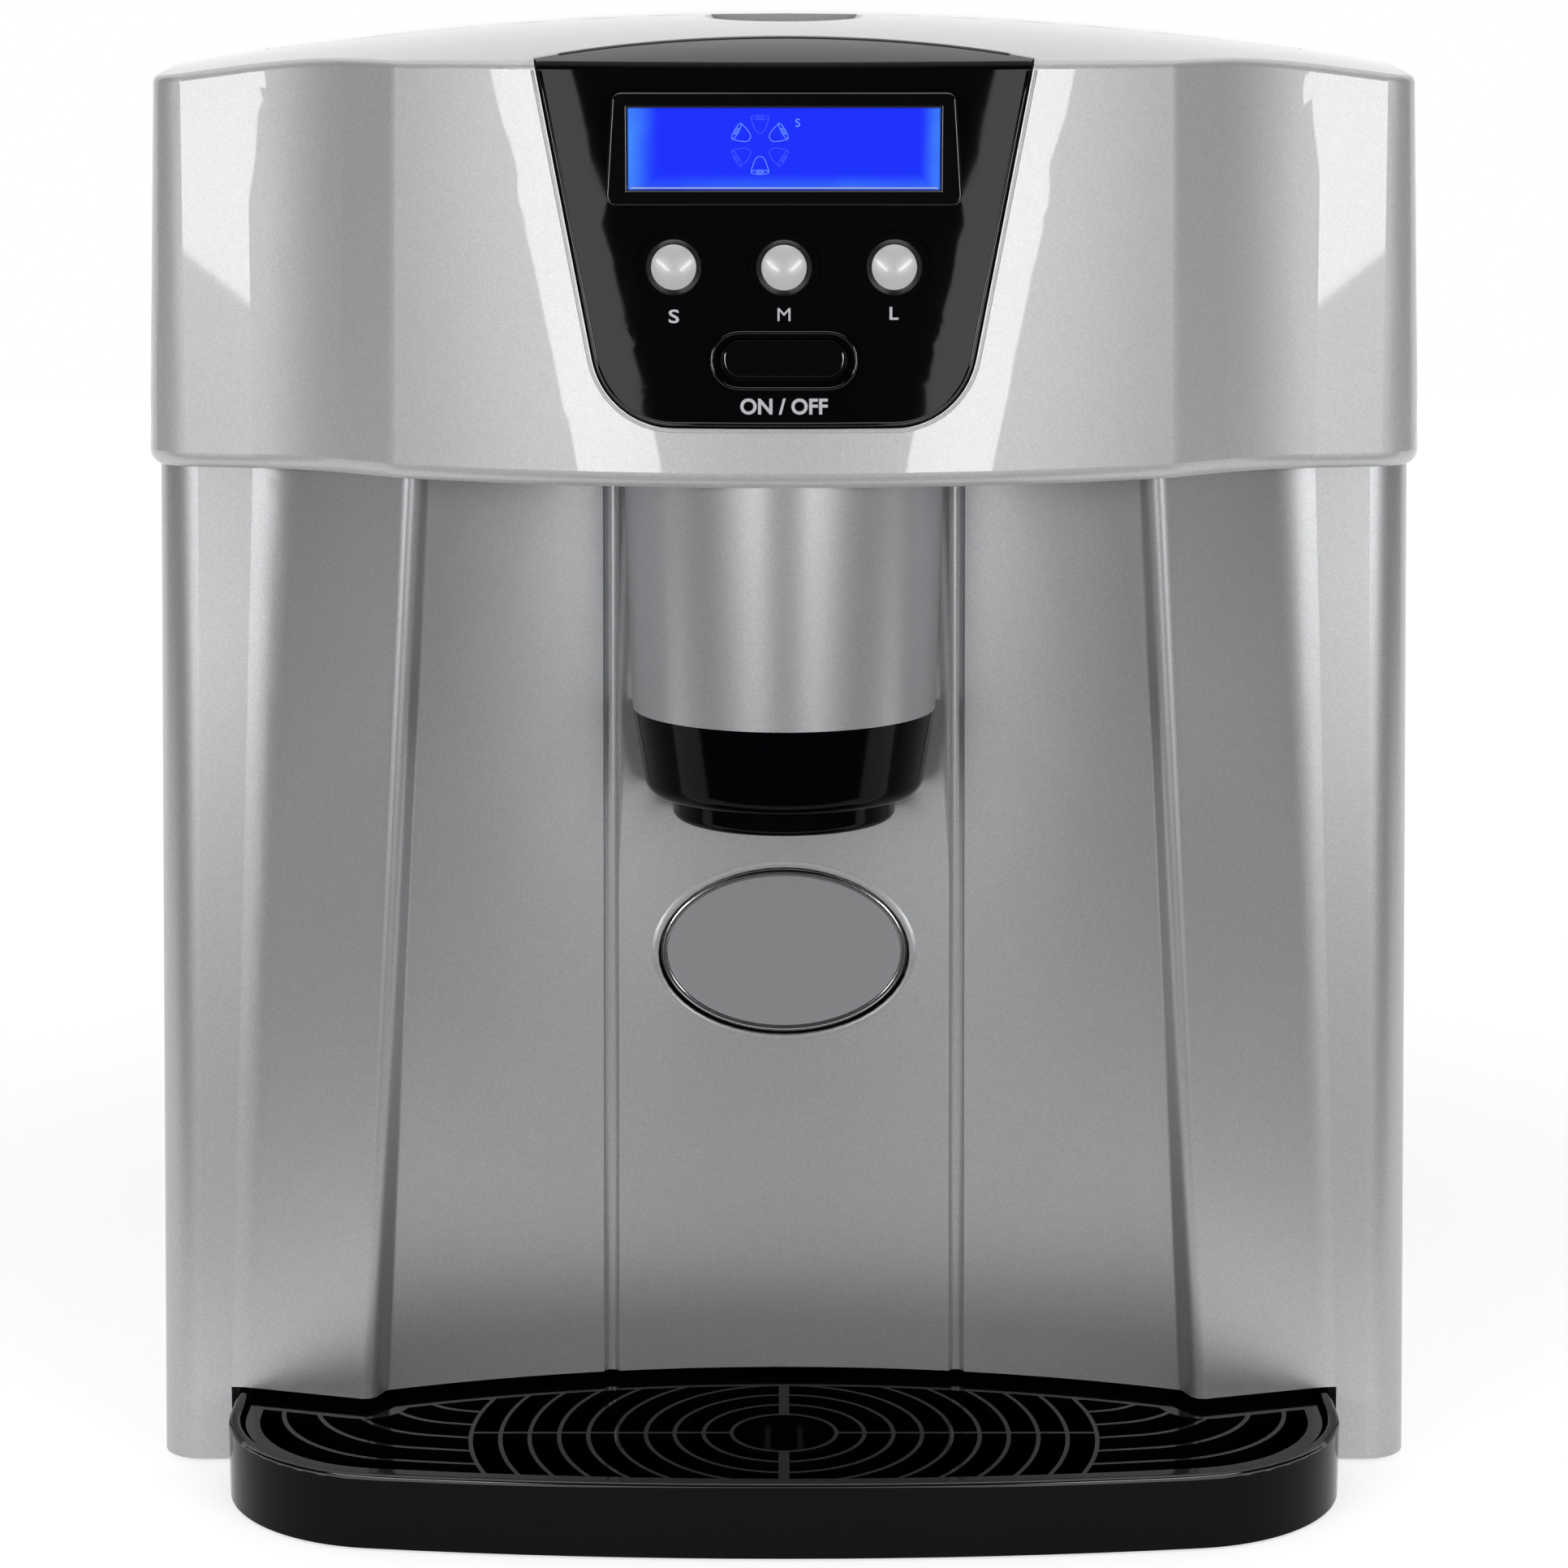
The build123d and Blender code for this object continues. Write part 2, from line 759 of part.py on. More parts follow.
def make_cabinet_shell():
    shell = case_block(0, case_floor, case_top) - case_block(case_wall, case_floor, case_top)
    recess_high = column_foot + recess_wall
    lining = block(-leg_inner_x - recess_wall, leg_inner_x + recess_wall, front_y,
                   tray_back + tray_recess_gap + recess_wall, case_floor, recess_high)
    shell += lining & case_block(0, case_floor, case_top)
    recess_back = tray_back + tray_recess_gap
    shell -= block(-leg_inner_x, leg_inner_x, front_y, recess_back, case_floor - cut_over, column_foot)
    shell -= block(-tongue_half - seat_gap, tongue_half + seat_gap, recess_back, recess_back + recess_wall,
                   case_floor, pan_level + pan_sheet + seat_gap / 2)
    for side in (-1, 1):
        low_y = niche_wall_y(groove_bottom_x, case_floor) - groove_sink
        high_y = niche_wall_y(groove_top_x, case_top) - groove_sink
        start = Vector(side * groove_bottom_x, low_y, case_floor)
        end = Vector(side * groove_top_x, high_y, case_top)
        groove = Plane(origin=start, z_dir=end - start) * Circle(groove_radius)
        shell -= extrude(groove, (end - start).length)
        for slot in vent_slots(side):
            shell -= slot
    hole = Ellipse(lever_half_width + lever_gap, lever_half_height + lever_gap)
    shell -= facing(hole, 0, lever_level, column_top_y, bracket_back_y)
    ledge_y = case_back - rear_inset - rear_panel_wall
    inner_half = rear_opening_half - rear_ledge
    shell += block(-rear_opening_half - rear_ledge, rear_opening_half + rear_ledge, ledge_y - case_wall,
                   ledge_y,
                   rear_opening_low - rear_ledge, rear_opening_high + rear_ledge)
    for edge in (-1, 1):
        shell += block(edge * (rear_opening_half + rear_ledge / 2) - rear_ledge / 2,
                       edge * (rear_opening_half + rear_ledge / 2) + rear_ledge / 2, ledge_y, case_back,
                       rear_opening_low - rear_ledge, rear_opening_high + rear_ledge)
    shell -= block(-inner_half, inner_half, ledge_y - cut_over, case_back,
                   rear_opening_low + rear_ledge, rear_opening_high - rear_ledge)
    shell -= block(-rear_opening_half, rear_opening_half, ledge_y, case_back + cut_over,
                   rear_opening_low, rear_opening_high)
    for x, z in screw_places():
        shell -= rod_y(screw_shank_radius + seat_gap / 2, x, z, ledge_y - case_wall - cut_over, case_back)
    return shell


def screw_places():
    """Two screws up each side and one at the middle of the top and bottom edge."""
    half = rear_opening_half - screw_inset
    low = rear_opening_low + screw_inset
    high = rear_opening_high - screw_inset
    middle = (low + high) / 2
    return [(-half, low), (half, low), (-half, middle), (half, middle), (-half, high), (half, high),
            (0, low), (0, high)]


def make_rear_panel():
    face_y = case_back - rear_inset
    inner = face_y - rear_panel_wall
    panel = block(-rear_opening_half + seat_gap, rear_opening_half - seat_gap, inner, face_y,
                  rear_opening_low + seat_gap, rear_opening_high - seat_gap)
    half = drain_pocket_half
    pocket = block(drain_x - half, drain_x + half, face_y - drain_pocket_depth, face_y, drain_z - half,
                   drain_z + half)
    room = block(drain_x - half + rear_panel_wall, drain_x + half - rear_panel_wall,
                 face_y - drain_pocket_depth + rear_panel_wall, face_y,
                 drain_z - half + rear_panel_wall, drain_z + half - rear_panel_wall)
    panel = panel + pocket - room
    panel -= rod_y(drain_pipe_radius + seat_gap, drain_x, drain_z, face_y - drain_pocket_depth - cut_over,
                   face_y)
    panel -= rod_y(gland_radius + seat_gap / 2, gland_x, gland_z, inner - cut_over, face_y + cut_over)
    slot = SlotOverall(2 * rear_vent_half, rear_vent_height)
    for row in range(rear_vent_rows):
        level = rear_vent_low + row * rear_vent_pitch
        for side in (-1, 1):
            centre = side * (rear_vent_half + rear_vent_pitch)
            panel -= facing(slot, centre, level, inner - cut_over, face_y + cut_over)
    for x, z in screw_places():
        panel -= rod_y(screw_shank_radius + seat_gap / 2, x, z, inner - cut_over, face_y + cut_over)
    return panel


def make_rear_screws():
    face_y = case_back - rear_inset
    screws = []
    for x, z in screw_places():
        head = rod_y(screw_head_radius, x, z, face_y, face_y + screw_head_height)
        head -= block(x - screw_head_radius, x + screw_head_radius, face_y + screw_head_height / 2,
                      face_y + screw_head_height, z - screw_head_height / 4, z + screw_head_height / 4)
        screws.append(head + rod_y(screw_shank_radius, x, z, face_y - screw_length, face_y))
    return Compound(children=screws)


def make_cord_gland():
    face_y = case_back - rear_inset
    gland = rod_y(gland_radius, gland_x, gland_z, face_y - gland_depth, face_y)
    gland += rod_y(gland_flange_radius, gland_x, gland_z, face_y, back_y)
    return gland - rod_y(gland_bore_radius, gland_x, gland_z, face_y - gland_depth, back_y)


def make_drain_spout():
    pocket_y = case_back - rear_inset - drain_pocket_depth
    end = pocket_y + rear_panel_wall + plug_cap_height
    pipe = rod_y(drain_pipe_radius, drain_x, drain_z, end - drain_pipe_length, end)
    saddle = block(drain_x - drain_pipe_radius, drain_x + drain_pipe_radius, end - drain_pipe_length,
                   end - drain_pipe_length + drain_pipe_radius, pan_level + pan_sheet, drain_z)
    return pipe + saddle - rod_y(drain_bore_radius, drain_x, drain_z, end - drain_pipe_length, end)


def make_drain_plug():
    seat_y = case_back - rear_inset - drain_pocket_depth + rear_panel_wall + plug_cap_height
    plug = rod_y(drain_bore_radius - fit_gap, drain_x, drain_z, seat_y - plug_stem_length, seat_y)
    plug += rod_y(plug_cap_radius, drain_x, drain_z, seat_y, seat_y + plug_cap_height)
    reach = plug_cap_radius * plug_tab_share
    return plug + block(drain_x - reach, drain_x + reach, seat_y,
                        seat_y + plug_cap_height + plug_tab_height,
                        drain_z - plug_tab_width / 2, drain_z + plug_tab_width / 2)


# Base and drip tray

def make_base_pan():
    gap = case_wall + seat_gap
    plan = offset(case_outline(pan_level), -gap, kind=Kind.INTERSECTION)
    keep_y = tray_back + tray_recess_gap + recess_wall + seat_gap
    cut = block(-case_half_bottom, case_half_bottom, front_y, keep_y, 0, column_foot)
    pan = upright(plan, pan_level, pan_level + pan_rim) - cut
    inner = offset(plan, -pan_sheet, kind=Kind.INTERSECTION)
    pan -= upright(inner, pan_level + pan_sheet, pan_level + pan_rim) - block(
        -case_half_bottom, case_half_bottom, front_y, keep_y + pan_sheet, 0, column_foot)
    slots = block(-tongue_half, tongue_half, keep_y - tongue_reach, keep_y + pan_sheet,
                  pan_level, pan_level + pan_sheet)
    return pan + slots


def make_rubber_feet():
    feet = []
    for x in (-foot_x, foot_x):
        for y in (foot_front_y, foot_back_y):
            feet.append(rod_z(foot_radius, x, y, 0, pan_level))
    return Compound(children=feet)


def tray_outline(inset, round_share=1, rear=None):
    """The tray's plan, drawn in by an inset that its corners follow wholly or in part."""
    half = tray_half_width - inset
    side = tray_side_front + inset
    rear = tray_back - inset if rear is None else rear
    arc = ThreePointArc((-half, side), (0, front_y + inset), (half, side))
    rest = Polyline((half, side), (half, rear), (-half, rear), (-half, side))
    face = make_face([arc] + list(rest.edges()))
    return round_at(face, half, side, tray_corner_radius - inset * round_share)


def grille_face():
    """The grille's plan: inside the tray's rim and in front of the columns."""
    columns = offset(case_outline(column_foot), grille_column_gap, kind=Kind.INTERSECTION)
    return tray_outline(tray_rim + grille_gap) - columns


def make_drip_tray():
    outline = tray_outline(0)
    ledge_level = grille_top - grille_depth
    under = pan_level + pan_sheet + seat_gap / 2
    tray = upright(outline, tray_bottom, tray_top)
    inside = tray_outline(tray_rim)
    tray -= upright(inside, tray_bottom, under)
    tray -= block(-tray_half_width + tray_rim, tray_half_width - tray_rim, tray_back - 2 * tray_rim,
                  tray_back,
                  tray_bottom, under)
    well = tray_outline(tray_rim + tray_ledge)
    tray -= upright(well, under + tray_floor, ledge_level)
    tray -= upright(inside, ledge_level, tray_top)
    columns = offset(case_outline(column_foot), grille_column_gap - grille_gap, kind=Kind.INTERSECTION)
    deck = inside & columns
    return tray + upright(deck, grille_top - tray_floor, grille_top)


def grille_plan():
    """The grille's bars seen from above."""
    face = grille_face()
    plan = face - offset(face, -grille_frame, kind=Kind.INTERSECTION)
    centre = Pos(0, axis_y)
    rim_radius = ring_radii[-1] + vane_width
    ribs = []
    for index in range(1, rib_count + 1):
        inset = tray_rim + grille_gap + grille_frame + (index - rib_start_share) * rib_pitch
        outer = tray_outline(inset, rib_round_share, tray_back)
        ribs.append(outer - tray_outline(inset + vane_width, rib_round_share, tray_back))
    for rib in ribs:
        plan += (rib & face) - centre * Circle(rim_radius)
    for radius in ring_radii:
        plan += (centre * (Circle(radius + vane_width) - Circle(radius))) & face
    inner = ring_radii[0]
    for side in (-1, 1):
        middle = side * (inner + rim_radius) / 2
        plan += Pos(middle, axis_y) * Rectangle(rim_radius - inner, vane_width)
    spine = Pos(0, axis_y) * (Rectangle(spine_width, 2 * rim_radius) - Circle(inner + vane_width / 2))
    return plan + (spine & face)


def make_drip_grille():
    low = grille_top - grille_depth + seat_gap / 2
    grille = upright(grille_plan(), low, grille_top)
    bowl = Circle(ring_radii[0] + vane_width / 2) - Circle(bowl_hole_radius)
    return grille + upright(Pos(0, axis_y) * bowl, low, low + vane_width)


# Control panel and its pieces

def make_control_panel(outer, back_skin, ledge_room):
    panel = (outer - back_skin) & panel_prism(-panel_gap)
    panel += (ledge_room - back_skin) & panel_prism(panel_ledge)
    for x in (-button_pitch, 0, button_pitch):
        face_y = panel_surface(x, button_level)
        panel += rod_y(button_ring_radius, x, button_level, face_y - button_ring_proud,
                       face_y + guide_length)
        panel -= rod_y(button_hole_radius, x, button_level, face_y - cut_over, face_y + guide_length)
    power_y = panel_surface(0, power_level)
    collar = SlotOverall(power_recess_width, power_recess_height)
    passage = SlotOverall(power_width + 2 * seat_gap, power_height + 2 * seat_gap)
    panel += facing(collar, 0, power_level, power_y + power_recess_depth, power_y + guide_length)
    panel -= facing(collar, 0, power_level, power_y - cut_over, power_y + power_recess_depth)
    panel -= facing(passage, 0, power_level, power_y - cut_over, power_y + guide_length)
    return panel - facing(bezel_outline(seat_gap / 2), 0, display_level, head_front - cut_over, board_y)


def bezel_outline(grow):
    half = bezel_height / 2 + grow
    face = make_face(Polyline((bezel_half_low + grow, -half), (bezel_half_top + grow, half),
                              (-bezel_half_top - grow, half), (-bezel_half_low - grow, -half), close=True))
    return fillet(face.vertices(), bezel_corner)


def bezel_front():
    return panel_surface(0, display_level) - bezel_proud


def make_display_bezel():
    front = bezel_front()
    bezel = facing(bezel_outline(0), 0, display_level, front, front + bezel_depth)
    return bezel - facing(Rectangle(window_width, window_height), 0, display_level, front,
                          front + bezel_depth)


def make_display_lens():
    front = bezel_front() + lens_sink
    window = Rectangle(window_width - seat_gap, window_height - seat_gap)
    return facing(window, 0, display_level, front, front + lens_thickness)


def make_display_module():
    front = bezel_front()
    glass = facing(Rectangle(window_width - seat_gap, window_height - seat_gap), 0, display_level,
                   front + lens_sink + lens_thickness, front + bezel_depth)
    case = facing(Rectangle(2 * bezel_half_top - bezel_corner, bezel_height - bezel_corner), 0,
                  display_level,
                  front + bezel_depth, board_y)
    return glass + case


def stem_end():
    """Where every button's stem stops, just short of its switch at full travel."""
    return board_y - switch_height - button_travel - seat_gap / 2


def make_size_button(x):
    face_y = panel_surface(x, button_level)
    front = face_y - button_proud
    back = face_y + guide_length + seat_gap
    dome_radius = (button_radius ** 2 + button_dome ** 2) / (2 * button_dome)
    half = button_radius / 2
    dome = ThreePointArc((0, front), (half, front + dome_radius - math.sqrt(dome_radius ** 2 - half ** 2)),
                         (button_radius, front + button_dome))
    rest = Polyline((button_radius, front + button_dome), (button_radius, back),
                    (button_flange_radius, back),
                    (button_flange_radius, back + button_flange), (button_stem_radius, back + button_flange),
                    (button_stem_radius, stem_end()), (0, stem_end()), (0, front))
    section = make_face([dome] + list(rest.edges()))
    return Pos(x, 0, button_level) * revolve(section, Axis.Y)


def make_power_button():
    face_y = panel_surface(0, power_level)
    back = face_y + guide_length + seat_gap
    cap = facing(SlotOverall(power_width, power_height), 0, power_level, face_y - power_proud, back)
    rim = [e for e in cap.edges() if e.bounding_box().max.Y < face_y - power_proud / 2]
    cap = fillet(rim, power_proud)
    flange = SlotOverall(power_width + 2 * power_flange, power_height + 2 * power_flange)
    cap += facing(flange, 0, power_level, back, back + button_flange)
    return cap + rod_y(button_stem_radius, 0, power_level, back, stem_end())


def make_control_board():
    board = block(-board_half, board_half, board_y, board_y + board_thickness, board_low, board_high)
    half = switch_size / 2
    for x, z in [(-button_pitch, button_level), (0, button_level), (button_pitch, button_level),
                 (0, power_level)]:
        board += block(x - half, x + half, board_y - switch_height, board_y, z - half, z + half)
    return board


# Head soffit and spout

def nose_plan(radius):
    """A half round nose whose sides run back to the niche wall."""
    wall_y = bracket_front_y
    nose = ThreePointArc((-radius, spout_y), (0, spout_y - radius), (radius, spout_y))
    half = radius + fairing_flare
    sides = Polyline((radius, spout_y), (half, wall_y), (-half, wall_y), (-radius, spout_y))
    return make_face([nose] + list(sides.edges()))


def nose(low_radius, low, high_radius, high):
    """A nose that tapers between two levels."""
    return loft([Pos(0, 0, low) * nose_plan(low_radius), Pos(0, 0, high) * nose_plan(high_radius)],
                ruled=True)


def round_foot(form, radius):
    """Rounds the nose's lower edge, all but its back."""
    low = form.bounding_box().min.Z
    edges = [e for e in form.edges() if e.bounding_box().max.Z < low + corner_match
             and e.bounding_box().min.Y < bracket_front_y - corner_match]
    return fillet(edges, radius)


def make_spout_housing(case_outside):
    top = soffit_level - seat_gap / 2
    housing = nose(spout_seam_radius, spout_seam, spout_top_radius, top)
    room_top = top - soffit_sheet
    room = nose(spout_seam_radius - spout_wall, spout_seam, spout_top_radius - spout_wall, room_top)
    rear_y = niche_centre_y - 2 * column_edge_radius
    room &= block(-spout_top_radius, spout_top_radius, spout_y - spout_top_radius, rear_y, spout_seam,
                  room_top)
    housing = housing - room - rod_z(bore_radius, 0, bore_y, room_top, top)
    return housing - case_outside


def make_spout_collar(case_outside):
    collar = round_foot(nose(collar_radius, collar_bottom, spout_seam_radius, spout_seam), collar_edge)
    floor = collar_bottom + collar_floor
    rear_y = niche_centre_y - 2 * column_edge_radius
    rib_radius = spout_seam_radius - spout_wall - seat_gap
    rib_front = block(-rib_radius, rib_radius, spout_y - rib_radius, rear_y - seat_gap, spout_seam,
                      spout_seam + collar_spigot)
    collar += upright(nose_plan(rib_radius), spout_seam, spout_seam + collar_spigot) & rib_front
    room = upright(nose_plan(collar_radius - collar_wall), floor, spout_seam + collar_spigot)
    room &= block(-rib_radius, rib_radius, spout_y - rib_radius, rear_y - spout_wall, floor,
                  spout_seam + collar_spigot)
    hole = rod_z(bore_radius + ring_spigot_wall + seat_gap / 2, 0, bore_y, collar_bottom,
                 collar_bottom + ring_spigot + seat_gap)
    return collar - room - hole - case_outside


def make_outlet_ring(case_outside):
    ring = round_foot(nose(ring_radius, ring_bottom, ring_radius, collar_bottom), ring_edge)
    ring += rod_z(bore_radius + ring_spigot_wall, 0, bore_y, ring_bottom + ring_edge,
                  collar_bottom + ring_spigot)
    ring -= rod_z(bore_radius, 0, bore_y, ring_bottom, collar_bottom + ring_spigot)
    return ring - case_outside


def make_head_soffit():
    sheet = upright(offset(head_outline(head_lean(soffit_level)), -head_wall - seat_gap,
                           kind=Kind.INTERSECTION), soffit_level, soffit_level + soffit_sheet)
    clear = offset(case_outline(soffit_level), seat_gap, kind=Kind.INTERSECTION)
    sheet -= upright(clear, soffit_level, soffit_level + soffit_sheet)
    sheet &= block(-column_top_x, column_top_x, head_front, niche_centre_y, soffit_level,
                   soffit_level + soffit_sheet)
    return sheet - rod_z(nozzle_radius + seat_gap, 0, bore_y, head_level, soffit_level + soffit_sheet)


def make_water_nozzle():
    top = soffit_level + soffit_sheet
    pipe = rod_z(nozzle_radius, 0, bore_y, nozzle_end, top)
    return pipe - rod_z(nozzle_bore, 0, bore_y, nozzle_end, top)


def make_dispense_valve():
    base = soffit_level + soffit_sheet
    body = block(-valve_half, valve_half, valve_front_y, valve_front_y + valve_depth, base,
                 base + valve_height)
    coil_y = valve_front_y + valve_depth / 2
    return body + rod_z(valve_coil_radius, 0, coil_y, base + valve_height,
                        base + valve_height + valve_coil_height)


def make_dispense_hose():
    back = valve_front_y + valve_depth
    drop_y = bracket_back_y - hose_stand_off
    drop_x = bracket_half + 3 * hose_radius
    level = soffit_level + soffit_sheet + valve_height * valve_port_share
    low = pan_level + pump_height * valve_port_share
    pump_front = sump_y - pump_radius
    path = [(0, back, level), (0, drop_y, level), (drop_x, drop_y, level), (drop_x, drop_y, low),
            (sump_x, drop_y, low), (sump_x, pump_front, low)]
    return tube(path, hose_tight_bend, hose_radius, hose_bore)


# Dispense lever

def make_dispense_lever():
    wall_y = niche_wall_y(0, lever_level)
    front = wall_y - lever_proud
    lever = facing(Ellipse(lever_half_width, lever_half_height), 0, lever_level, front,
                   front + lever_thickness)
    lever = fillet([e for e in lever.edges() if e.bounding_box().max.Y < front + corner_match], lever_proud)
    inset = Ellipse(lever_half_width - lever_face_inset, lever_half_height - lever_face_inset)
    lever -= facing(inset, 0, lever_level, front, front + lever_face_thickness)
    arm_back = lever_pivot_y + lever_arm_depth / 2
    for side in (-1, 1):
        x0 = side * lever_arm_x - lever_arm_width / 2
        x1 = side * lever_arm_x + lever_arm_width / 2
        lever += block(x0, x1, front + lever_thickness, arm_back, lever_level - lever_arm_width,
                       lever_level + lever_arm_width)
        lever += block(x0, x1, arm_back - lever_arm_depth, arm_back, lever_level, lever_pivot_level)
        lever += rod_x(lever_hub_radius, lever_pivot_y, lever_pivot_level, x0, x1)
    lever += block(-lever_arm_x, lever_arm_x, arm_back - lever_arm_depth, arm_back,
                   lever_level - lever_arm_width, lever_level + lever_arm_width)
    bore = lever_pin_radius + fit_gap
    return lever - rod_x(bore, lever_pivot_y, lever_pivot_level, -bracket_half, bracket_half)


def make_lever_face():
    front = niche_wall_y(0, lever_level) - lever_proud
    inset = lever_face_inset + seat_gap / 2
    face = Ellipse(lever_half_width - inset, lever_half_height - inset)
    return facing(face, 0, lever_level, front + lever_face_thickness / 4, front + lever_face_thickness)


def make_lever_bracket():
    low = lever_pivot_level - 2 * lever_hub_radius
    room = case_block(case_wall + seat_gap, bracket_low, bracket_high)
    bracket = block(-bracket_half, bracket_half, bracket_back_y - bracket_sheet, bracket_back_y,
                    bracket_low, bracket_high)
    for side in (-1, 1):
        x = side * (bracket_half - bracket_cheek / 2)
        cheek = block(x - bracket_cheek / 2, x + bracket_cheek / 2, niche_centre_y, bracket_back_y,
                      low, bracket_high)
        bracket += cheek & room
    hole = lever_pin_radius + fit_gap
    return bracket - rod_x(hole, lever_pivot_y, lever_pivot_level, -bracket_half, bracket_half)


def make_lever_pin():
    return rod_x(lever_pin_radius, lever_pivot_y, lever_pivot_level, -bracket_half, bracket_half)


def make_lever_switch():
    back = bracket_back_y - bracket_sheet
    return block(-microswitch_width / 2, microswitch_width / 2, back - microswitch_depth, back,
                 lever_level - microswitch_height / 2, lever_level + microswitch_height / 2)


# Lid and ice chamber

def make_head_shell(outer, inner):
    shell = (outer - inner) - panel_prism(0)
    opening = rounded_plan(lid_half, lid_front, trough_back, lid_corner, trough_corner)
    chamber = rounded_plan(lid_half, lid_front, lid_back + lid_gap, lid_corner, trough_corner)
    ring = offset(opening, well_wall) - opening
    shell += upright(ring, trough_level - well_wall, crown_peak) & inner
    low_ring = offset(chamber, well_wall) - chamber
    shell += upright(low_ring, flange_level, trough_level)
    shell += block(-lid_half, lid_half, lid_back + lid_gap, trough_back, trough_level - well_wall,
                   trough_level)
    shell -= upright(opening, trough_level, crown_peak + cut_over)
    shell -= upright(chamber, flange_level, crown_peak)
    lug_back = lid_axis_y + 2 * lid_knuckle_radius
    for side in (-1, 1):
        for near in (knuckle_inner - lug_width - seat_gap, knuckle_outer + seat_gap):
            x = side * (near + lug_width / 2)
            shell += block(x - lug_width / 2, x + lug_width / 2, lid_axis_y - lid_knuckle_radius / 2,
                           lug_back,
                           trough_level, lid_axis_z + lid_knuckle_radius / 2)
        span = sorted((side * (knuckle_inner - 2 * lug_width), side * (knuckle_outer + 2 * lug_width)))
        shell -= rod_x(lid_pin_radius + fit_gap, lid_axis_y, lid_axis_z, *span)
    ledge_level = case_top + seat_gap
    seat = head_outline(head_lean(ledge_level) + head_wall - seat_gap)
    seat -= offset(seat, -3 * head_wall, kind=Kind.INTERSECTION)
    shell += upright(seat, ledge_level, ledge_level + head_wall)
    return add_scoop(shell, inner)


def add_scoop(shell, inner):
    """A finger scoop in the deck in front of the lid."""
    deck_level = crown_peak - crown_drop_shares[1] * crown_front_drop
    centre = Pos(0, lid_front - scoop_lead, deck_level - scoop_depth + scoop_radius)
    hollow = centre * Sphere(scoop_radius)
    dish = centre * Sphere(scoop_radius + scoop_wall)
    ahead = block(-scoop_radius, scoop_radius, lid_front - scoop_radius, lid_front, trough_level, crown_peak)
    return (shell + (dish & ahead & inner)) - (hollow & ahead)


def make_lid_cover(outer, inner):
    cover_plan = rounded_plan(lid_half - lid_gap, lid_front + lid_gap, lid_back, lid_corner - lid_gap,
                              trough_corner)
    cover = (outer - inner) & upright(cover_plan, trough_level - cut_over, crown_peak + cut_over)
    skirt = cover_plan - offset(cover_plan, -lid_skirt)
    cover += upright(skirt, flange_level + seat_gap, crown_peak) & inner
    for side in (-1, 1):
        span = sorted((side * knuckle_inner, side * knuckle_outer))
        cover += rod_x(lid_knuckle_radius, lid_axis_y, lid_axis_z, *span)
        cover += block(*span, lid_back - lid_skirt, lid_axis_y, lid_axis_z - lid_knuckle_radius,
                       lid_axis_z + lid_knuckle_radius / 2)
        cover -= rod_x(lid_pin_radius + fit_gap, lid_axis_y, lid_axis_z, *span)
    return cover


def make_lid_pins():
    pins = []
    for side in (-1, 1):
        span = sorted((side * (knuckle_inner - seat_gap - lug_width),
                       side * (knuckle_outer + seat_gap + lug_width)))
        pins.append(rod_x(lid_pin_radius, lid_axis_y, lid_axis_z, *span))
    return Compound(children=pins)


def make_lid_liner():
    inset = lid_gap + lid_skirt + seat_gap
    plan = rounded_plan(lid_half - inset, lid_front + inset, lid_back - lid_skirt - seat_gap,
                        lid_corner - inset, trough_corner - lid_skirt)
    low = flange_level + seat_gap
    return upright(plan, low, low + well_wall)


def chamber_plan(inset):
    return rounded_plan(chamber_half - inset, chamber_front + inset, chamber_back - inset,
                        chamber_corner - inset, chamber_corner - inset)


def make_chamber_liner():
    liner = upright(chamber_plan(0), chamber_floor, flange_level)
    flange = rounded_plan(lid_half + well_wall, lid_front - well_wall, lid_back + lid_gap + well_wall,
                          lid_corner, trough_corner)
    liner += upright(flange, flange_level - flange_sheet, flange_level)
    inside = chamber_plan(chamber_wall)
    liner -= upright(inside, chamber_floor + chamber_wall, flange_level)
    shelf = inside - offset(inside, -shelf_width)
    liner += upright(shelf, shelf_level - shelf_height, shelf_level)
    for side in (-1, 1):
        liner -= rod_y(evaporator_tube + seat_gap / 2, side * evaporator_tube_x, evaporator_tube_level,
                       tilt_y, chamber_back + cut_over)
        span = sorted((side * (chamber_half - 2 * cut_over), side * (chamber_half + cut_over)))
        liner -= rod_x(sensor_radius + seat_gap / 2, sensor_y, sensor_level, *span)
    liner -= rod_y(hose_radius + seat_gap / 2, 0, evaporator_tube_level, tilt_y, chamber_back + cut_over)
    return liner - rod_z(tank_hose_bore, sump_x, sump_y, chamber_floor - cut_over, chamber_floor + cut_over)


def make_chamber_insulation():
    gap = seat_gap / 2
    outside = rounded_plan(chamber_half + foam_thickness, chamber_front - foam_thickness,
                           chamber_back + foam_thickness, chamber_corner, chamber_corner)
    high = flange_level - flange_sheet - gap
    foam = upright(outside, foam_low, high)
    foam -= upright(offset(chamber_plan(0), gap), foam_low, high)
    for x in (-evaporator_tube_x, 0, evaporator_tube_x):
        foam -= rod_y(evaporator_tube + gap, x, evaporator_tube_level, chamber_back - cut_over,
                      chamber_back + cut_over)
    for side in (-1, 1):
        span = sorted((side * chamber_half, side * (chamber_half + cut_over)))
        foam -= rod_x(sensor_radius + gap, sensor_y, sensor_level, *span)
    return foam


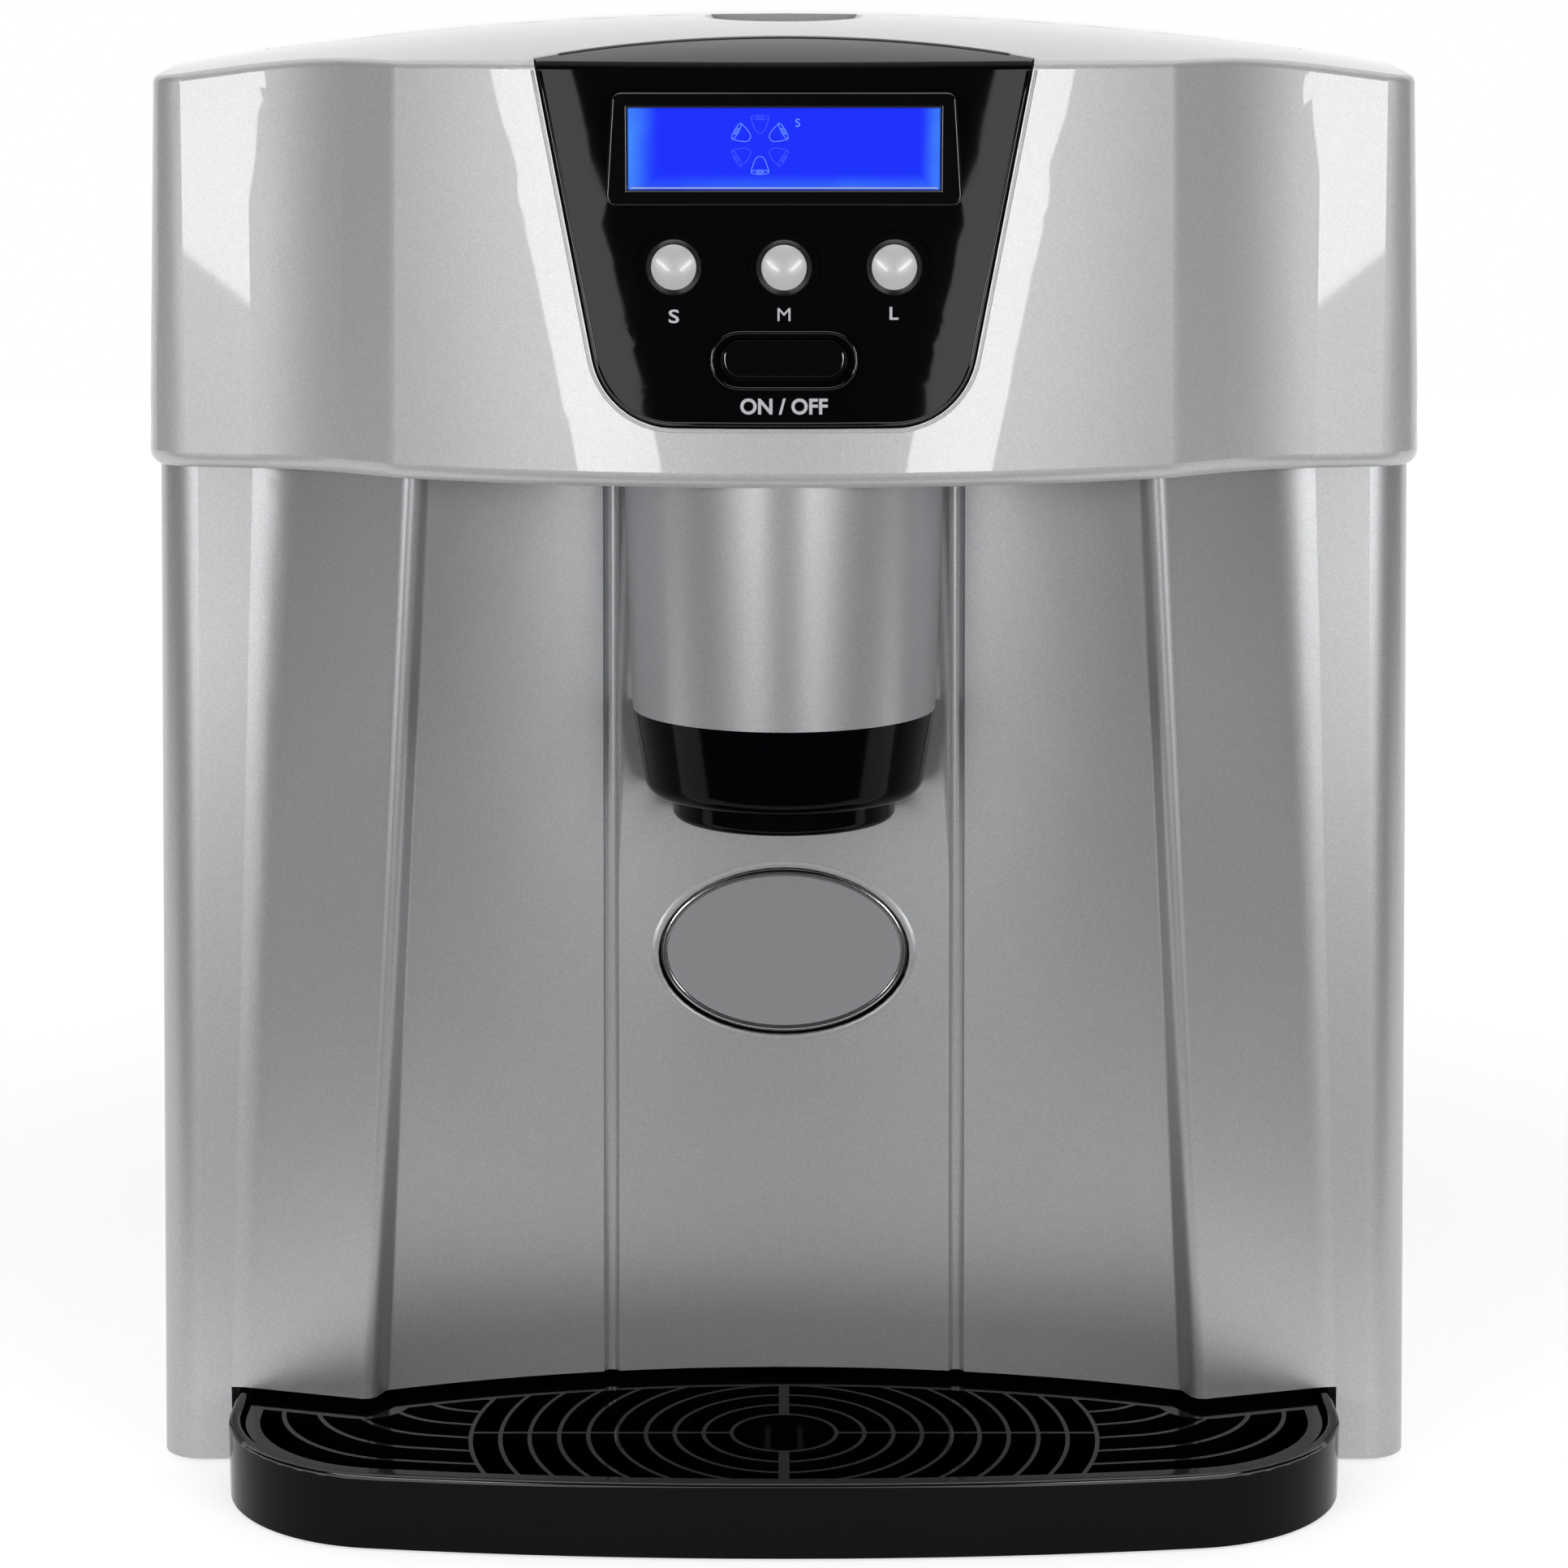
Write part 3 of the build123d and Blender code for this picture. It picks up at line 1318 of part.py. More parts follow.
def make_ice_basket():
    half = chamber_half - chamber_wall - basket_clearance
    front = chamber_front + chamber_wall + basket_clearance
    plan = rounded_plan(half, front, basket_back, basket_corner, basket_corner / 2)
    low = shelf_level + seat_gap / 2
    basket = upright(plan, low, basket_rim)
    basket -= upright(offset(plan, -basket_wall), low + basket_wall, basket_rim)
    length = basket_back - front - 2 * basket_slot_inset
    slot = Rot(Z=90) * SlotOverall(length, basket_slot)
    steps = int((chamber_half - basket_slot_margin) / basket_slot_pitch)
    for index in range(-steps, steps + 1):
        x = index * basket_slot_pitch
        basket -= upright(Pos(x, (front + basket_back) / 2) * slot, low, low + basket_wall)
    grip = SlotOverall(basket_grip_width, basket_grip_height)
    return basket - facing(grip, 0, basket_rim - basket_grip_drop, front - cut_over, front + cut_over)


def make_ice_ramp():
    half = chamber_half - chamber_wall - seat_gap
    rear = chamber_back - chamber_wall - seat_gap
    corner = chamber_corner
    profile = [(ramp_y, shelf_level), (ramp_y, ramp_level), (rear, ramp_back_level),
               (rear, ramp_back_level - ramp_sheet), (ramp_y + ramp_sheet, ramp_level - ramp_sheet),
               (ramp_y + ramp_sheet, shelf_level)]
    ramp = side_section(profile, -half, half) & upright(chamber_plan(chamber_wall + seat_gap), shelf_level,
                                                        ramp_back_level)
    length = rear - ramp_y - 2 * corner
    slot = Rot(Z=90) * SlotOverall(length, basket_slot)
    steps = int((chamber_half - ramp_slot_margin) / ramp_slot_pitch)
    for index in range(-steps, steps + 1):
        x = index * ramp_slot_pitch
        ramp -= upright(Pos(x, (rear + ramp_y) / 2) * slot, ramp_level - corner, ramp_back_level)
    return ramp


# Ice maker

def make_evaporator():
    plate = block(-evaporator_half, evaporator_half, front_row_y - evaporator_margin,
                  back_row_y + evaporator_margin,
                  hanger_low, hanger_low + evaporator_plate)
    reach = chamber_half - chamber_wall - seat_gap
    plate += block(-reach, reach, hanger_front, hanger_back, hanger_low, hanger_low + hanger_sheet)
    rows = [(front_row_y, front_fingers), (back_row_y, back_fingers)]
    for y, count in rows:
        for index in range(count):
            x = (index - (count - 1) / 2) * finger_pitch
            plate += rod_z(finger_radius, x, y, finger_tip + finger_radius, hanger_low)
            plate += Pos(x, y, finger_tip + finger_radius) * Sphere(finger_radius)
    y = (hanger_front + hanger_back) / 2
    plate += rod_x(evaporator_tube, y, evaporator_tube_level, -evaporator_tube_x, evaporator_tube_x)
    for side in (-1, 1):
        plate += Pos(side * evaporator_tube_x, y, evaporator_tube_level) * Sphere(evaporator_tube)
        plate += rod_y(evaporator_tube, side * evaporator_tube_x, evaporator_tube_level, y,
                       chamber_back + foam_thickness + line_radius)
    return plate


def dish_points(inset):
    """The water dish's section, from its tilting axis."""
    points = [(dish_back_top - inset, dish_back_drop),
              (dish_back_low - inset * dish_back_share, dish_floor_back + inset),
              (dish_front_low + inset * dish_front_share, dish_floor_front + inset),
              (dish_front_top + inset, dish_rim_drop)]
    return [(tilt_y + y, tilt_z + z) for y, z in points]


def make_water_tray():
    dish = side_section(dish_points(0), -dish_half, dish_half)
    hollow = dish_points(dish_wall)
    hollow.append((hollow[3][0], tilt_z + cut_over))
    hollow.append((hollow[0][0], tilt_z + cut_over))
    room = side_section(hollow, -dish_half + dish_wall, dish_half - dish_wall)
    dish -= room
    for side in (-1, 1):
        ear = sorted((side * (dish_half - dish_wall), side * dish_half))
        dish += block(*ear, tilt_y - 2 * ear_half, tilt_y + ear_half, tilt_z - 2 * ear_half,
                      tilt_z + journal_radius)
        span = sorted((side * (dish_half - dish_wall), side * (dish_half + journal_length)))
        dish += rod_x(journal_radius, tilt_y, tilt_z, *span)
    return dish


def make_tray_motor():
    reach = chamber_half - chamber_wall - seat_gap
    motor = block(motor_inner, reach, tilt_y - motor_half_y, tilt_y + motor_half_y,
                  tilt_z - motor_half_z, tilt_z + motor_half_z)
    motor -= block(motor_inner, reach, hanger_front - seat_gap, hanger_back + seat_gap,
                   hanger_low - seat_gap, hanger_low + hanger_sheet + seat_gap)
    return motor - rod_x(journal_radius + fit_gap, tilt_y, tilt_z, motor_inner,
                         dish_half + journal_length + seat_gap)


def make_tray_bearing():
    reach = chamber_half - chamber_wall - seat_gap
    bearing = block(-reach, -motor_inner, tilt_y - bearing_half, tilt_y + bearing_half,
                    tilt_z - bearing_half, tilt_z + bearing_half)
    return bearing - rod_x(journal_radius + fit_gap, tilt_y, tilt_z, -dish_half - journal_length - seat_gap,
                           -motor_inner)


def make_ice_shovel():
    flap = block(-flap_half, flap_half, flap_axis_y - flap_sheet / 2, flap_axis_y + flap_sheet / 2,
                 flap_low, flap_axis_z)
    flap += rod_x(flap_hub, flap_axis_y, flap_axis_z, -flap_half, flap_half)
    for index in range(back_fingers):
        x = (index - (back_fingers - 1) / 2) * finger_pitch
        flap -= block(x - flap_slot / 2, x + flap_slot / 2, flap_axis_y - flap_sheet,
                      flap_axis_y + flap_sheet,
                      flap_low, flap_low + flap_slot)
    return flap + rod_x(flap_journal, flap_axis_y, flap_axis_z, -flap_plate_inner - flap_plate,
                        flap_plate_inner + flap_plate)


def make_shovel_brackets():
    cheeks = []
    low = hanger_low + hanger_sheet
    for side in (-1, 1):
        span = sorted((side * flap_plate_inner, side * (flap_plate_inner + flap_plate)))
        cheek = block(*span, flap_axis_y - 2 * flap_journal, hanger_back, low,
                      flap_axis_z + 2 * flap_journal)
        cheeks.append(cheek - rod_x(flap_journal + fit_gap, flap_axis_y, flap_axis_z, *span))
    return Compound(children=cheeks)


def make_ice_sensors():
    sensors = []
    for side in (-1, 1):
        span = sorted((side * (chamber_half - chamber_wall), side * (chamber_half + foam_thickness)))
        cap = sorted((side * (chamber_half + foam_thickness),
                      side * (chamber_half + foam_thickness + sensor_radius)))
        sensor = rod_x(sensor_radius, sensor_y, sensor_level, *span)
        sensors.append(sensor + rod_x(2 * sensor_radius, sensor_y, sensor_level, *cap))
    return Compound(children=sensors)


# Water circuit

def make_tank_strainer():
    low = chamber_floor + chamber_wall
    cap = rod_z(strainer_radius, sump_x, sump_y, low, low + strainer_height)
    for index in range(strainer_slots):
        turn = Pos(sump_x, sump_y) * Rot(Z=index * 360 / strainer_slots) * Pos(strainer_slot_centre, 0)
        hole = turn * SlotOverall(strainer_slot_length, strainer_slot_width)
        cap -= upright(hole, low, low + strainer_height)
    return cap


def make_tank_hose():
    top = chamber_floor - seat_gap / 2
    low = pan_level + pan_sheet + pump_height
    hose = rod_z(tank_hose_radius, sump_x, sump_y, low, top)
    return hose - rod_z(tank_hose_bore, sump_x, sump_y, low, top)


def make_water_pump():
    low = pan_level + pan_sheet
    pump = rod_z(pump_radius, sump_x, sump_y, low, low + pump_can_height)
    pump += rod_z(pump_inlet_radius, sump_x, sump_y, low, low + pump_height)
    back = sump_y + pump_radius
    return pump + rod_y(pump_outlet_radius, sump_x, low + pump_height / 2, sump_y, back + hose_radius)


def make_pump_hose():
    level = pan_level + pan_sheet + pump_height / 2
    start = sump_y + pump_radius + hose_radius
    rise_y = chamber_back + foam_thickness + 2 * hose_radius
    dish_y = tilt_y - 3 * journal_radius
    path = [(sump_x, start, level), (sump_x, rise_y, level), (0, rise_y, level),
            (0, rise_y, evaporator_tube_level), (0, dish_y, evaporator_tube_level)]
    return tube(path, hose_bend, hose_radius, hose_bore)


# Cooling circuit

def make_compressor():
    low = pan_level + pan_sheet + grommet_height
    can = rod_z(compressor_radius, compressor_x, compressor_y, low + compressor_plate, compressor_top)
    can = fillet(can.edges().sort_by(Axis.Z)[-1], compressor_round)
    reach = grommet_offset + grommet_radius
    plate = block(compressor_x - reach, compressor_x + reach, compressor_y - reach, compressor_y + reach,
                  low, low + compressor_plate)
    return can + plate


def make_compressor_grommets():
    low = pan_level + pan_sheet
    grommets = []
    for x in (-grommet_offset, grommet_offset):
        for y in (-grommet_offset, grommet_offset):
            grommets.append(rod_z(grommet_radius, compressor_x + x, compressor_y + y, low,
                                  low + grommet_height))
    return Compound(children=grommets)


def make_condenser():
    core = None
    span = condenser_back - condenser_front
    for index in range(condenser_fins):
        y = condenser_front + (span - condenser_fin) * index / (condenser_fins - 1)
        fin = block(condenser_x, condenser_x + condenser_width, y, y + condenser_fin, condenser_low,
                    condenser_high)
        core = fin if core is None else core + fin
    pitch = (condenser_high - condenser_low) / condenser_rows
    for row in range(condenser_rows):
        level = condenser_low + row * pitch + pitch / 2
        core += rod_y(condenser_tube, condenser_x + condenser_width / 2, level, condenser_front,
                      condenser_back)
    for side in (condenser_front, condenser_back - condenser_fin):
        core += block(condenser_x, condenser_x + condenser_width, side, side + condenser_fin,
                      pan_level + pan_sheet, condenser_low)
    return core


def make_fan_shroud():
    far = condenser_x - seat_gap / 2
    shroud = block(far - shroud_sheet, far, condenser_front, condenser_back, pan_level + pan_sheet,
                   condenser_high)
    ring = rod_x(shroud_bore + shroud_ring, fan_y, fan_z, shroud_x, far)
    shroud = shroud + ring - rod_x(shroud_bore, fan_y, fan_z, shroud_x, far)
    for turn in strut_turns:
        strut = Pos(shroud_x - shroud_sheet, fan_y, fan_z) * Rot(X=turn) * Pos(0, 0, shroud_bore / 2)
        arm = strut * Box(2 * shroud_sheet, strut_width, shroud_bore + 2 * shroud_ring)
        shroud += arm
    hub = rod_x(motor_radius, fan_y, fan_z, shroud_x - 2 * shroud_sheet, shroud_x)
    return shroud + hub - rod_x(fan_shaft + seat_gap, fan_y, fan_z, shroud_x - 2 * shroud_sheet, shroud_x)


def make_fan_motor():
    face = shroud_x - 2 * shroud_sheet
    return rod_x(motor_radius, fan_y, fan_z, face - motor_length, face)


def make_fan_blades():
    face = shroud_x
    far = condenser_x - shroud_sheet - seat_gap
    middle = (face + far) / 2
    fan = rod_x(fan_hub, fan_y, fan_z, face + seat_gap, far)
    for index in range(fan_blades_count):
        angle = 360 * index / fan_blades_count
        place = Pos(middle, fan_y, fan_z) * Rot(X=angle) * Pos(0, 0, (fan_radius + fan_hub) / 2)
        fan += place * Rot(Z=fan_pitch_angle) * Box(fan_blade, fan_blade_width,
                                                    fan_radius - fan_hub + fan_blade)
    motor_face = face - 2 * shroud_sheet
    return fan + rod_x(fan_shaft, fan_y, fan_z, motor_face + seat_gap, face + seat_gap)


def make_filter_drier():
    low = pan_level + pan_sheet
    x = drier_x
    drier = rod_y(drier_radius, x, low + 2 * drier_radius, compressor_y - drier_length, compressor_y)
    strap_y = compressor_y - drier_length / 2
    return drier + block(x - drier_radius / 2, x + drier_radius / 2, strap_y - drier_strap_half,
                         strap_y + drier_strap_half, low, low + 2 * drier_radius)


def make_suction_line():
    start_y = chamber_back + foam_thickness + line_radius
    drop_y = start_y + 6 * line_radius
    path = [(-evaporator_tube_x, start_y, evaporator_tube_level),
            (-evaporator_tube_x, drop_y, evaporator_tube_level),
            (-evaporator_tube_x, drop_y, compressor_top)]
    return tube(path, 4 * line_radius, line_radius, 0)


def make_liquid_line():
    start_y = chamber_back + foam_thickness + line_radius
    drop_y = start_y + liquid_line_reach
    low = pan_level + pan_sheet + 2 * drier_radius
    high = low + 4 * line_radius
    x = drier_x
    path = [(evaporator_tube_x, start_y, evaporator_tube_level),
            (evaporator_tube_x, drop_y, evaporator_tube_level),
            (evaporator_tube_x, drop_y, high), (x, drop_y, high), (x, drop_y, low), (x, compressor_y, low)]
    return tube(path, line_tight_bend, line_radius, 0)


def make_discharge_line():
    y = condenser_back - 8 * line_radius
    level = compressor_top + 3 * line_radius
    end_x = condenser_x + condenser_width / 2
    path = [(compressor_x, compressor_y, compressor_top), (compressor_x, compressor_y, level),
            (compressor_x, y, level), (end_x, y, level), (end_x, y, condenser_high)]
    return tube(path, 2 * line_radius, line_radius, 0)


def make_power_board():
    low = pan_level + pan_sheet
    top = low + power_board_post
    board = block(power_board_x - power_board_half_x, power_board_x + power_board_half_x,
                  power_board_y - power_board_half_y, power_board_y + power_board_half_y, top,
                  top + board_thickness)
    for x in (-post_share_x, post_share_x):
        for y in (-post_share_y, post_share_y):
            board += rod_z(screw_head_radius, power_board_x + x * power_board_half_x,
                           power_board_y + y * power_board_half_y, low, top)
    for share, size in board_block_shares:
        centre = power_board_x + share * power_board_half_x
        half = board_block * size / 2
        board += block(centre - half, centre + half, power_board_y - half, power_board_y + half, top,
                       top + board_block * size)
    return board


def write(name, shape):
    export_step(shape, "parts/" + name + ".step")


def main():
    os.makedirs("parts", exist_ok=True)
    outer = head_block(0)
    inner = head_block(head_wall)
    ledge_room = head_block(head_wall + seat_gap)
    back_skin = head_block(head_wall + seat_gap + panel_ledge_wall)
    case_outside = case_block(-seat_gap / 2, case_floor, case_top)
    write("cabinet_shell", make_cabinet_shell())
    write("rear_panel", make_rear_panel())
    write("rear_screws", make_rear_screws())
    write("cord_gland", make_cord_gland())
    write("drain_spout", make_drain_spout())
    write("drain_plug", make_drain_plug())
    write("base_pan", make_base_pan())
    write("rubber_feet", make_rubber_feet())
    write("drip_tray", make_drip_tray())
    write("drip_grille", make_drip_grille())
    write("head_shell", make_head_shell(outer, inner))
    write("control_panel", make_control_panel(outer, back_skin, ledge_room))
    write("display_bezel", make_display_bezel())
    write("display_lens", make_display_lens())
    write("display_module", make_display_module())
    write("button_small", make_size_button(-button_pitch))
    write("button_medium", make_size_button(0))
    write("button_large", make_size_button(button_pitch))
    write("power_button", make_power_button())
    write("control_board", make_control_board())
    write("head_soffit", make_head_soffit())
    write("spout_housing", make_spout_housing(case_outside))
    write("spout_collar", make_spout_collar(case_outside))
    write("outlet_ring", make_outlet_ring(case_outside))
    write("water_nozzle", make_water_nozzle())
    write("dispense_valve", make_dispense_valve())
    write("dispense_hose", make_dispense_hose())
    write("dispense_lever", make_dispense_lever())
    write("lever_face", make_lever_face())
    write("lever_bracket", make_lever_bracket())
    write("lever_pin", make_lever_pin())
    write("lever_switch", make_lever_switch())
    write("lid_cover", make_lid_cover(outer, inner))
    write("lid_liner", make_lid_liner())
    write("lid_hinge_pins", make_lid_pins())
    write("chamber_liner", make_chamber_liner())
    write("chamber_insulation", make_chamber_insulation())
    write("ice_basket", make_ice_basket())
    write("ice_ramp", make_ice_ramp())
    write("evaporator", make_evaporator())
    write("water_tray", make_water_tray())
    write("tray_motor", make_tray_motor())
    write("tray_bearing", make_tray_bearing())
    write("ice_shovel", make_ice_shovel())
    write("shovel_brackets", make_shovel_brackets())
    write("ice_sensors", make_ice_sensors())
    write("tank_strainer", make_tank_strainer())
    write("tank_hose", make_tank_hose())
    write("water_pump", make_water_pump())
    write("pump_hose", make_pump_hose())
    write("compressor", make_compressor())
    write("compressor_grommets", make_compressor_grommets())
    write("condenser", make_condenser())
    write("fan_shroud", make_fan_shroud())
    write("fan_motor", make_fan_motor())
    write("fan_blades", make_fan_blades())
    write("filter_drier", make_filter_drier())
    write("refrigerant_lines", Compound(children=[make_suction_line(), make_liquid_line(),
                                                  make_discharge_line()]))
    write("power_board", make_power_board())


main()
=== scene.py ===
import json
import math

import bmesh
import bpy
from mathutils import Matrix, Vector

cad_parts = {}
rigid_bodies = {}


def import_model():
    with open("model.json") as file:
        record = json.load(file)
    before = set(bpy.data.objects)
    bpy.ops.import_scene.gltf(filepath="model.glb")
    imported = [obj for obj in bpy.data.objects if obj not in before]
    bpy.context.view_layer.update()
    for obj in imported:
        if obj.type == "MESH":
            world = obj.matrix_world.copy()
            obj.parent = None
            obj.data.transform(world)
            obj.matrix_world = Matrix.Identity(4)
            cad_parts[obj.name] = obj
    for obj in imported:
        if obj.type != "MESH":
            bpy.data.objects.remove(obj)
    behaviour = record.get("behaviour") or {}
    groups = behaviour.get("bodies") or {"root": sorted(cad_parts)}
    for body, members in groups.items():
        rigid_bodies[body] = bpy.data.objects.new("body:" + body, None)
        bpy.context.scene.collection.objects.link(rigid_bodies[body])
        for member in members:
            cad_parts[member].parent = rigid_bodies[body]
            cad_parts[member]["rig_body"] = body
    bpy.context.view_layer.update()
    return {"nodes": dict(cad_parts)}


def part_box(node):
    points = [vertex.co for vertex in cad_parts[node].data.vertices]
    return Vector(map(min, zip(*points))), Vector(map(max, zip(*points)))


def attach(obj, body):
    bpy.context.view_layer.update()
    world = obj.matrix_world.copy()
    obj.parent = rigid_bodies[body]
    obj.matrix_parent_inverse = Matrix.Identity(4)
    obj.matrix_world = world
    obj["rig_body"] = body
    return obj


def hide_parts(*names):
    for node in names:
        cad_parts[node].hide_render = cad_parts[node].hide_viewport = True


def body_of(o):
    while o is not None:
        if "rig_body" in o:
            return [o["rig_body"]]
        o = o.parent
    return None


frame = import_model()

# The table-top ice maker, dressed around its CAD frame. Metres, front -Y, mirror plane X = 0.

nodes = frame["nodes"]


# Camera, fitted to the perspective of the photograph

SENSOR = 36.0
FOCAL_PIXELS, PICTURE_PIXELS = 4900, 1932
CAMERA_PLACE = (0.0, -1.2365, 0.4172)
CAMERA_PITCH = 11.15
CAMERA_REACH = 20.0


def make_camera():
    camera = bpy.data.objects.new("camera", bpy.data.cameras.new("camera"))
    camera.data.sensor_width = SENSOR
    camera.data.lens = SENSOR * FOCAL_PIXELS / PICTURE_PIXELS
    camera.data.clip_end = CAMERA_REACH
    camera.location = CAMERA_PLACE
    camera.rotation_euler = (math.radians(90 - CAMERA_PITCH), 0, 0)
    bpy.context.scene.collection.objects.link(camera)
    bpy.context.scene.camera = camera


# Studio: two slanted strip lights beside the camera, one light above, a pale floor and a dark curtain

FLOOR_HALF, FLOOR_ALBEDO = 3.0, 0.80
FLOOR_GLOW_NEAR, FLOOR_GLOW_FAR = 0.64, 1.0
GLOW_START, GLOW_END = 0.35, 1.6
SKY_LIGHT, SKY_SEEN = 0.34, 1.0
CURTAIN_RADIUS, CURTAIN_HEIGHT, CURTAIN_ENDS_Y = 1.9, 2.4, 0.6
CURTAIN_DARK = (0.02, 0.02, 0.02, 1)
MAT_HALF_WIDTH, MAT_HALF_DEPTH, MAT_Y = 1.3, 0.72, -1.05
MAT_LIFT = 0.002
STRIP_AIM = (0.0, -0.17, 0.36)
STRIP_REACH, STRIP_AZIMUTH, STRIP_RISE, STRIP_ROLL = 1.25, 32.5, 0.03, 52.0
STRIP_WIDTH, STRIP_LENGTH, STRIP_POWER = 0.165, 1.0, 4.7
TOP_PLACE, TOP_AIM = (0.0, -0.35, 1.65), (0.0, 0.0, 0.3)
TOP_WIDTH, TOP_LENGTH, TOP_POWER = 1.3, 0.9, 1.7


def softbox(name, place, target, width, height, power, roll=0.0):
    """A rectangular soft light that faces a point."""
    lamp = bpy.data.lights.new(name, "AREA")
    lamp.shape = "RECTANGLE"
    lamp.size, lamp.size_y = width, height
    lamp.energy = power
    box = bpy.data.objects.new(name, lamp)
    aim = (Vector(target) - Vector(place)).to_track_quat("-Z", "Y")
    box.matrix_world = Matrix.Translation(place) @ aim.to_matrix().to_4x4() @ Matrix.Rotation(roll, 4, "Z")
    bpy.context.scene.collection.objects.link(box)


def stage_piece(name, bm, material):
    mesh = bpy.data.meshes.new(name)
    bm.to_mesh(mesh)
    bm.free()
    piece = bpy.data.objects.new(name, mesh)
    mesh.materials.append(material)
    bpy.context.scene.collection.objects.link(piece)
    return piece


def pale_surface(name):
    """A pale studio surface that shows white far from the object and still takes its shadow."""
    material = bpy.data.materials.new(name)
    material.use_nodes = True
    tree = material.node_tree
    shader = tree.nodes["Principled BSDF"]
    shader.inputs["Base Color"].default_value = grey(FLOOR_ALBEDO)
    shader.inputs["Roughness"].default_value = 0.9
    shader.inputs["Specular IOR Level"].default_value = 0.1
    shader.inputs["Emission Color"].default_value = (1, 1, 1, 1)
    place = add(tree, "ShaderNodeTexCoord").outputs["Object"]
    away = add(tree, "ShaderNodeVectorMath", [(0, place)], operation="LENGTH")
    rise = add(tree, "ShaderNodeMapRange", [("Value", away.outputs["Value"]), ("From Min", GLOW_START),
                                            ("From Max", GLOW_END), ("To Min", FLOOR_GLOW_NEAR),
                                            ("To Max", FLOOR_GLOW_FAR)])
    glow = add(tree, "ShaderNodeMath", [(0, background_rays(tree)), (1, rise.outputs["Result"])],
               operation="MULTIPLY")
    tree.links.new(glow.outputs[0], shader.inputs["Emission Strength"])
    return material


def background_rays(tree):
    """One for camera, glossy and transmission rays, so that metal and glass show the background too."""
    path = add(tree, "ShaderNodeLightPath").outputs
    both = add(tree, "ShaderNodeMath", [(0, path["Is Camera Ray"]), (1, path["Is Glossy Ray"])],
               operation="MAXIMUM")
    return add(tree, "ShaderNodeMath", [(0, both.outputs[0]), (1, path["Is Transmission Ray"])],
               operation="MAXIMUM").outputs[0]


def make_sky():
    world = bpy.data.worlds.new("studio")
    bpy.context.scene.world = world
    world.use_nodes = True
    tree = world.node_tree
    sky = tree.nodes["Background"]
    sky.inputs["Color"].default_value = (1.0, 1.0, 1.0, 1)
    level = add(tree, "ShaderNodeMapRange", [("Value", background_rays(tree)), ("To Min", SKY_LIGHT),
                                             ("To Max", SKY_SEEN)])
    tree.links.new(level.outputs["Result"], sky.inputs["Strength"])


def make_floor():
    bm = bmesh.new()
    bmesh.ops.create_grid(bm, x_segments=1, y_segments=1, size=FLOOR_HALF)
    stage_piece("floor", bm, pale_surface("pale_floor"))


def make_curtain():
    """A dark half cylinder and a dark mat in front of the object, which only reflections see."""
    bm = bmesh.new()
    bmesh.ops.create_circle(bm, segments=64, radius=CURTAIN_RADIUS, cap_ends=False)
    behind = [v for v in bm.verts if v.co.y > CURTAIN_ENDS_Y]
    bmesh.ops.delete(bm, geom=behind, context="VERTS")
    wall = bmesh.ops.extrude_edge_only(bm, edges=bm.edges)
    bmesh.ops.translate(bm, verts=[v for v in wall["geom"] if isinstance(v, bmesh.types.BMVert)],
                        vec=(0, 0, CURTAIN_HEIGHT))
    mat = bmesh.ops.create_grid(bm, x_segments=1, y_segments=1, size=1.0)
    bmesh.ops.scale(bm, verts=mat["verts"], vec=(MAT_HALF_WIDTH, MAT_HALF_DEPTH, 1.0))
    bmesh.ops.translate(bm, verts=mat["verts"], vec=(0, MAT_Y, 0))
    bmesh.ops.translate(bm, verts=bm.verts, vec=(0, 0, MAT_LIFT))
    material = bpy.data.materials.new("dark_curtain")
    material.use_nodes = True
    shader = material.node_tree.nodes["Principled BSDF"]
    shader.inputs["Base Color"].default_value = CURTAIN_DARK
    shader.inputs["Roughness"].default_value = 1.0
    curtain = stage_piece("curtain", bm, material)
    curtain.visible_camera = False
    curtain.visible_diffuse = False
    curtain.visible_shadow = False
    curtain.visible_transmission = False


def make_studio():
    bpy.context.scene.view_settings.view_transform = "Standard"
    make_sky()
    make_floor()
    make_curtain()
    turn = math.radians(STRIP_AZIMUTH)
    for side, name in ((-1, "box_left"), (1, "box_right")):
        place = (side * math.sin(turn) * STRIP_REACH, STRIP_AIM[1] - math.cos(turn) * STRIP_REACH,
                 STRIP_AIM[2] + STRIP_RISE)
        softbox(name, place, STRIP_AIM, STRIP_WIDTH, STRIP_LENGTH, STRIP_POWER,
                roll=-side * math.radians(STRIP_ROLL))
    softbox("box_top", TOP_PLACE, TOP_AIM, TOP_WIDTH, TOP_LENGTH, TOP_POWER)


# Shared effects

def new_group(name, inputs, outputs):
    group = bpy.data.node_groups.new(name, "ShaderNodeTree")
    for label, kind, value in inputs:
        group.interface.new_socket(label, in_out="INPUT", socket_type=kind).default_value = value
    for label, kind in outputs:
        group.interface.new_socket(label, in_out="OUTPUT", socket_type=kind)
    return group, group.nodes.new("NodeGroupInput"), group.nodes.new("NodeGroupOutput")


def add(tree, kind, links=(), **settings):
    """A node with settings, and its inputs linked or given a value."""
    node = tree.nodes.new(kind)
    for key, value in settings.items():
        setattr(node, key, value)
    for socket, source in links:
        if isinstance(source, bpy.types.NodeSocket):
            tree.links.new(source, node.inputs[socket])
        else:
            node.inputs[socket].default_value = source
    return node


COLOUR, NUMBER, VECTOR = "NodeSocketColor", "NodeSocketFloat", "NodeSocketVector"
SURFACE_OUT = [("Colour", COLOUR), ("Roughness", NUMBER), ("Height", NUMBER)]


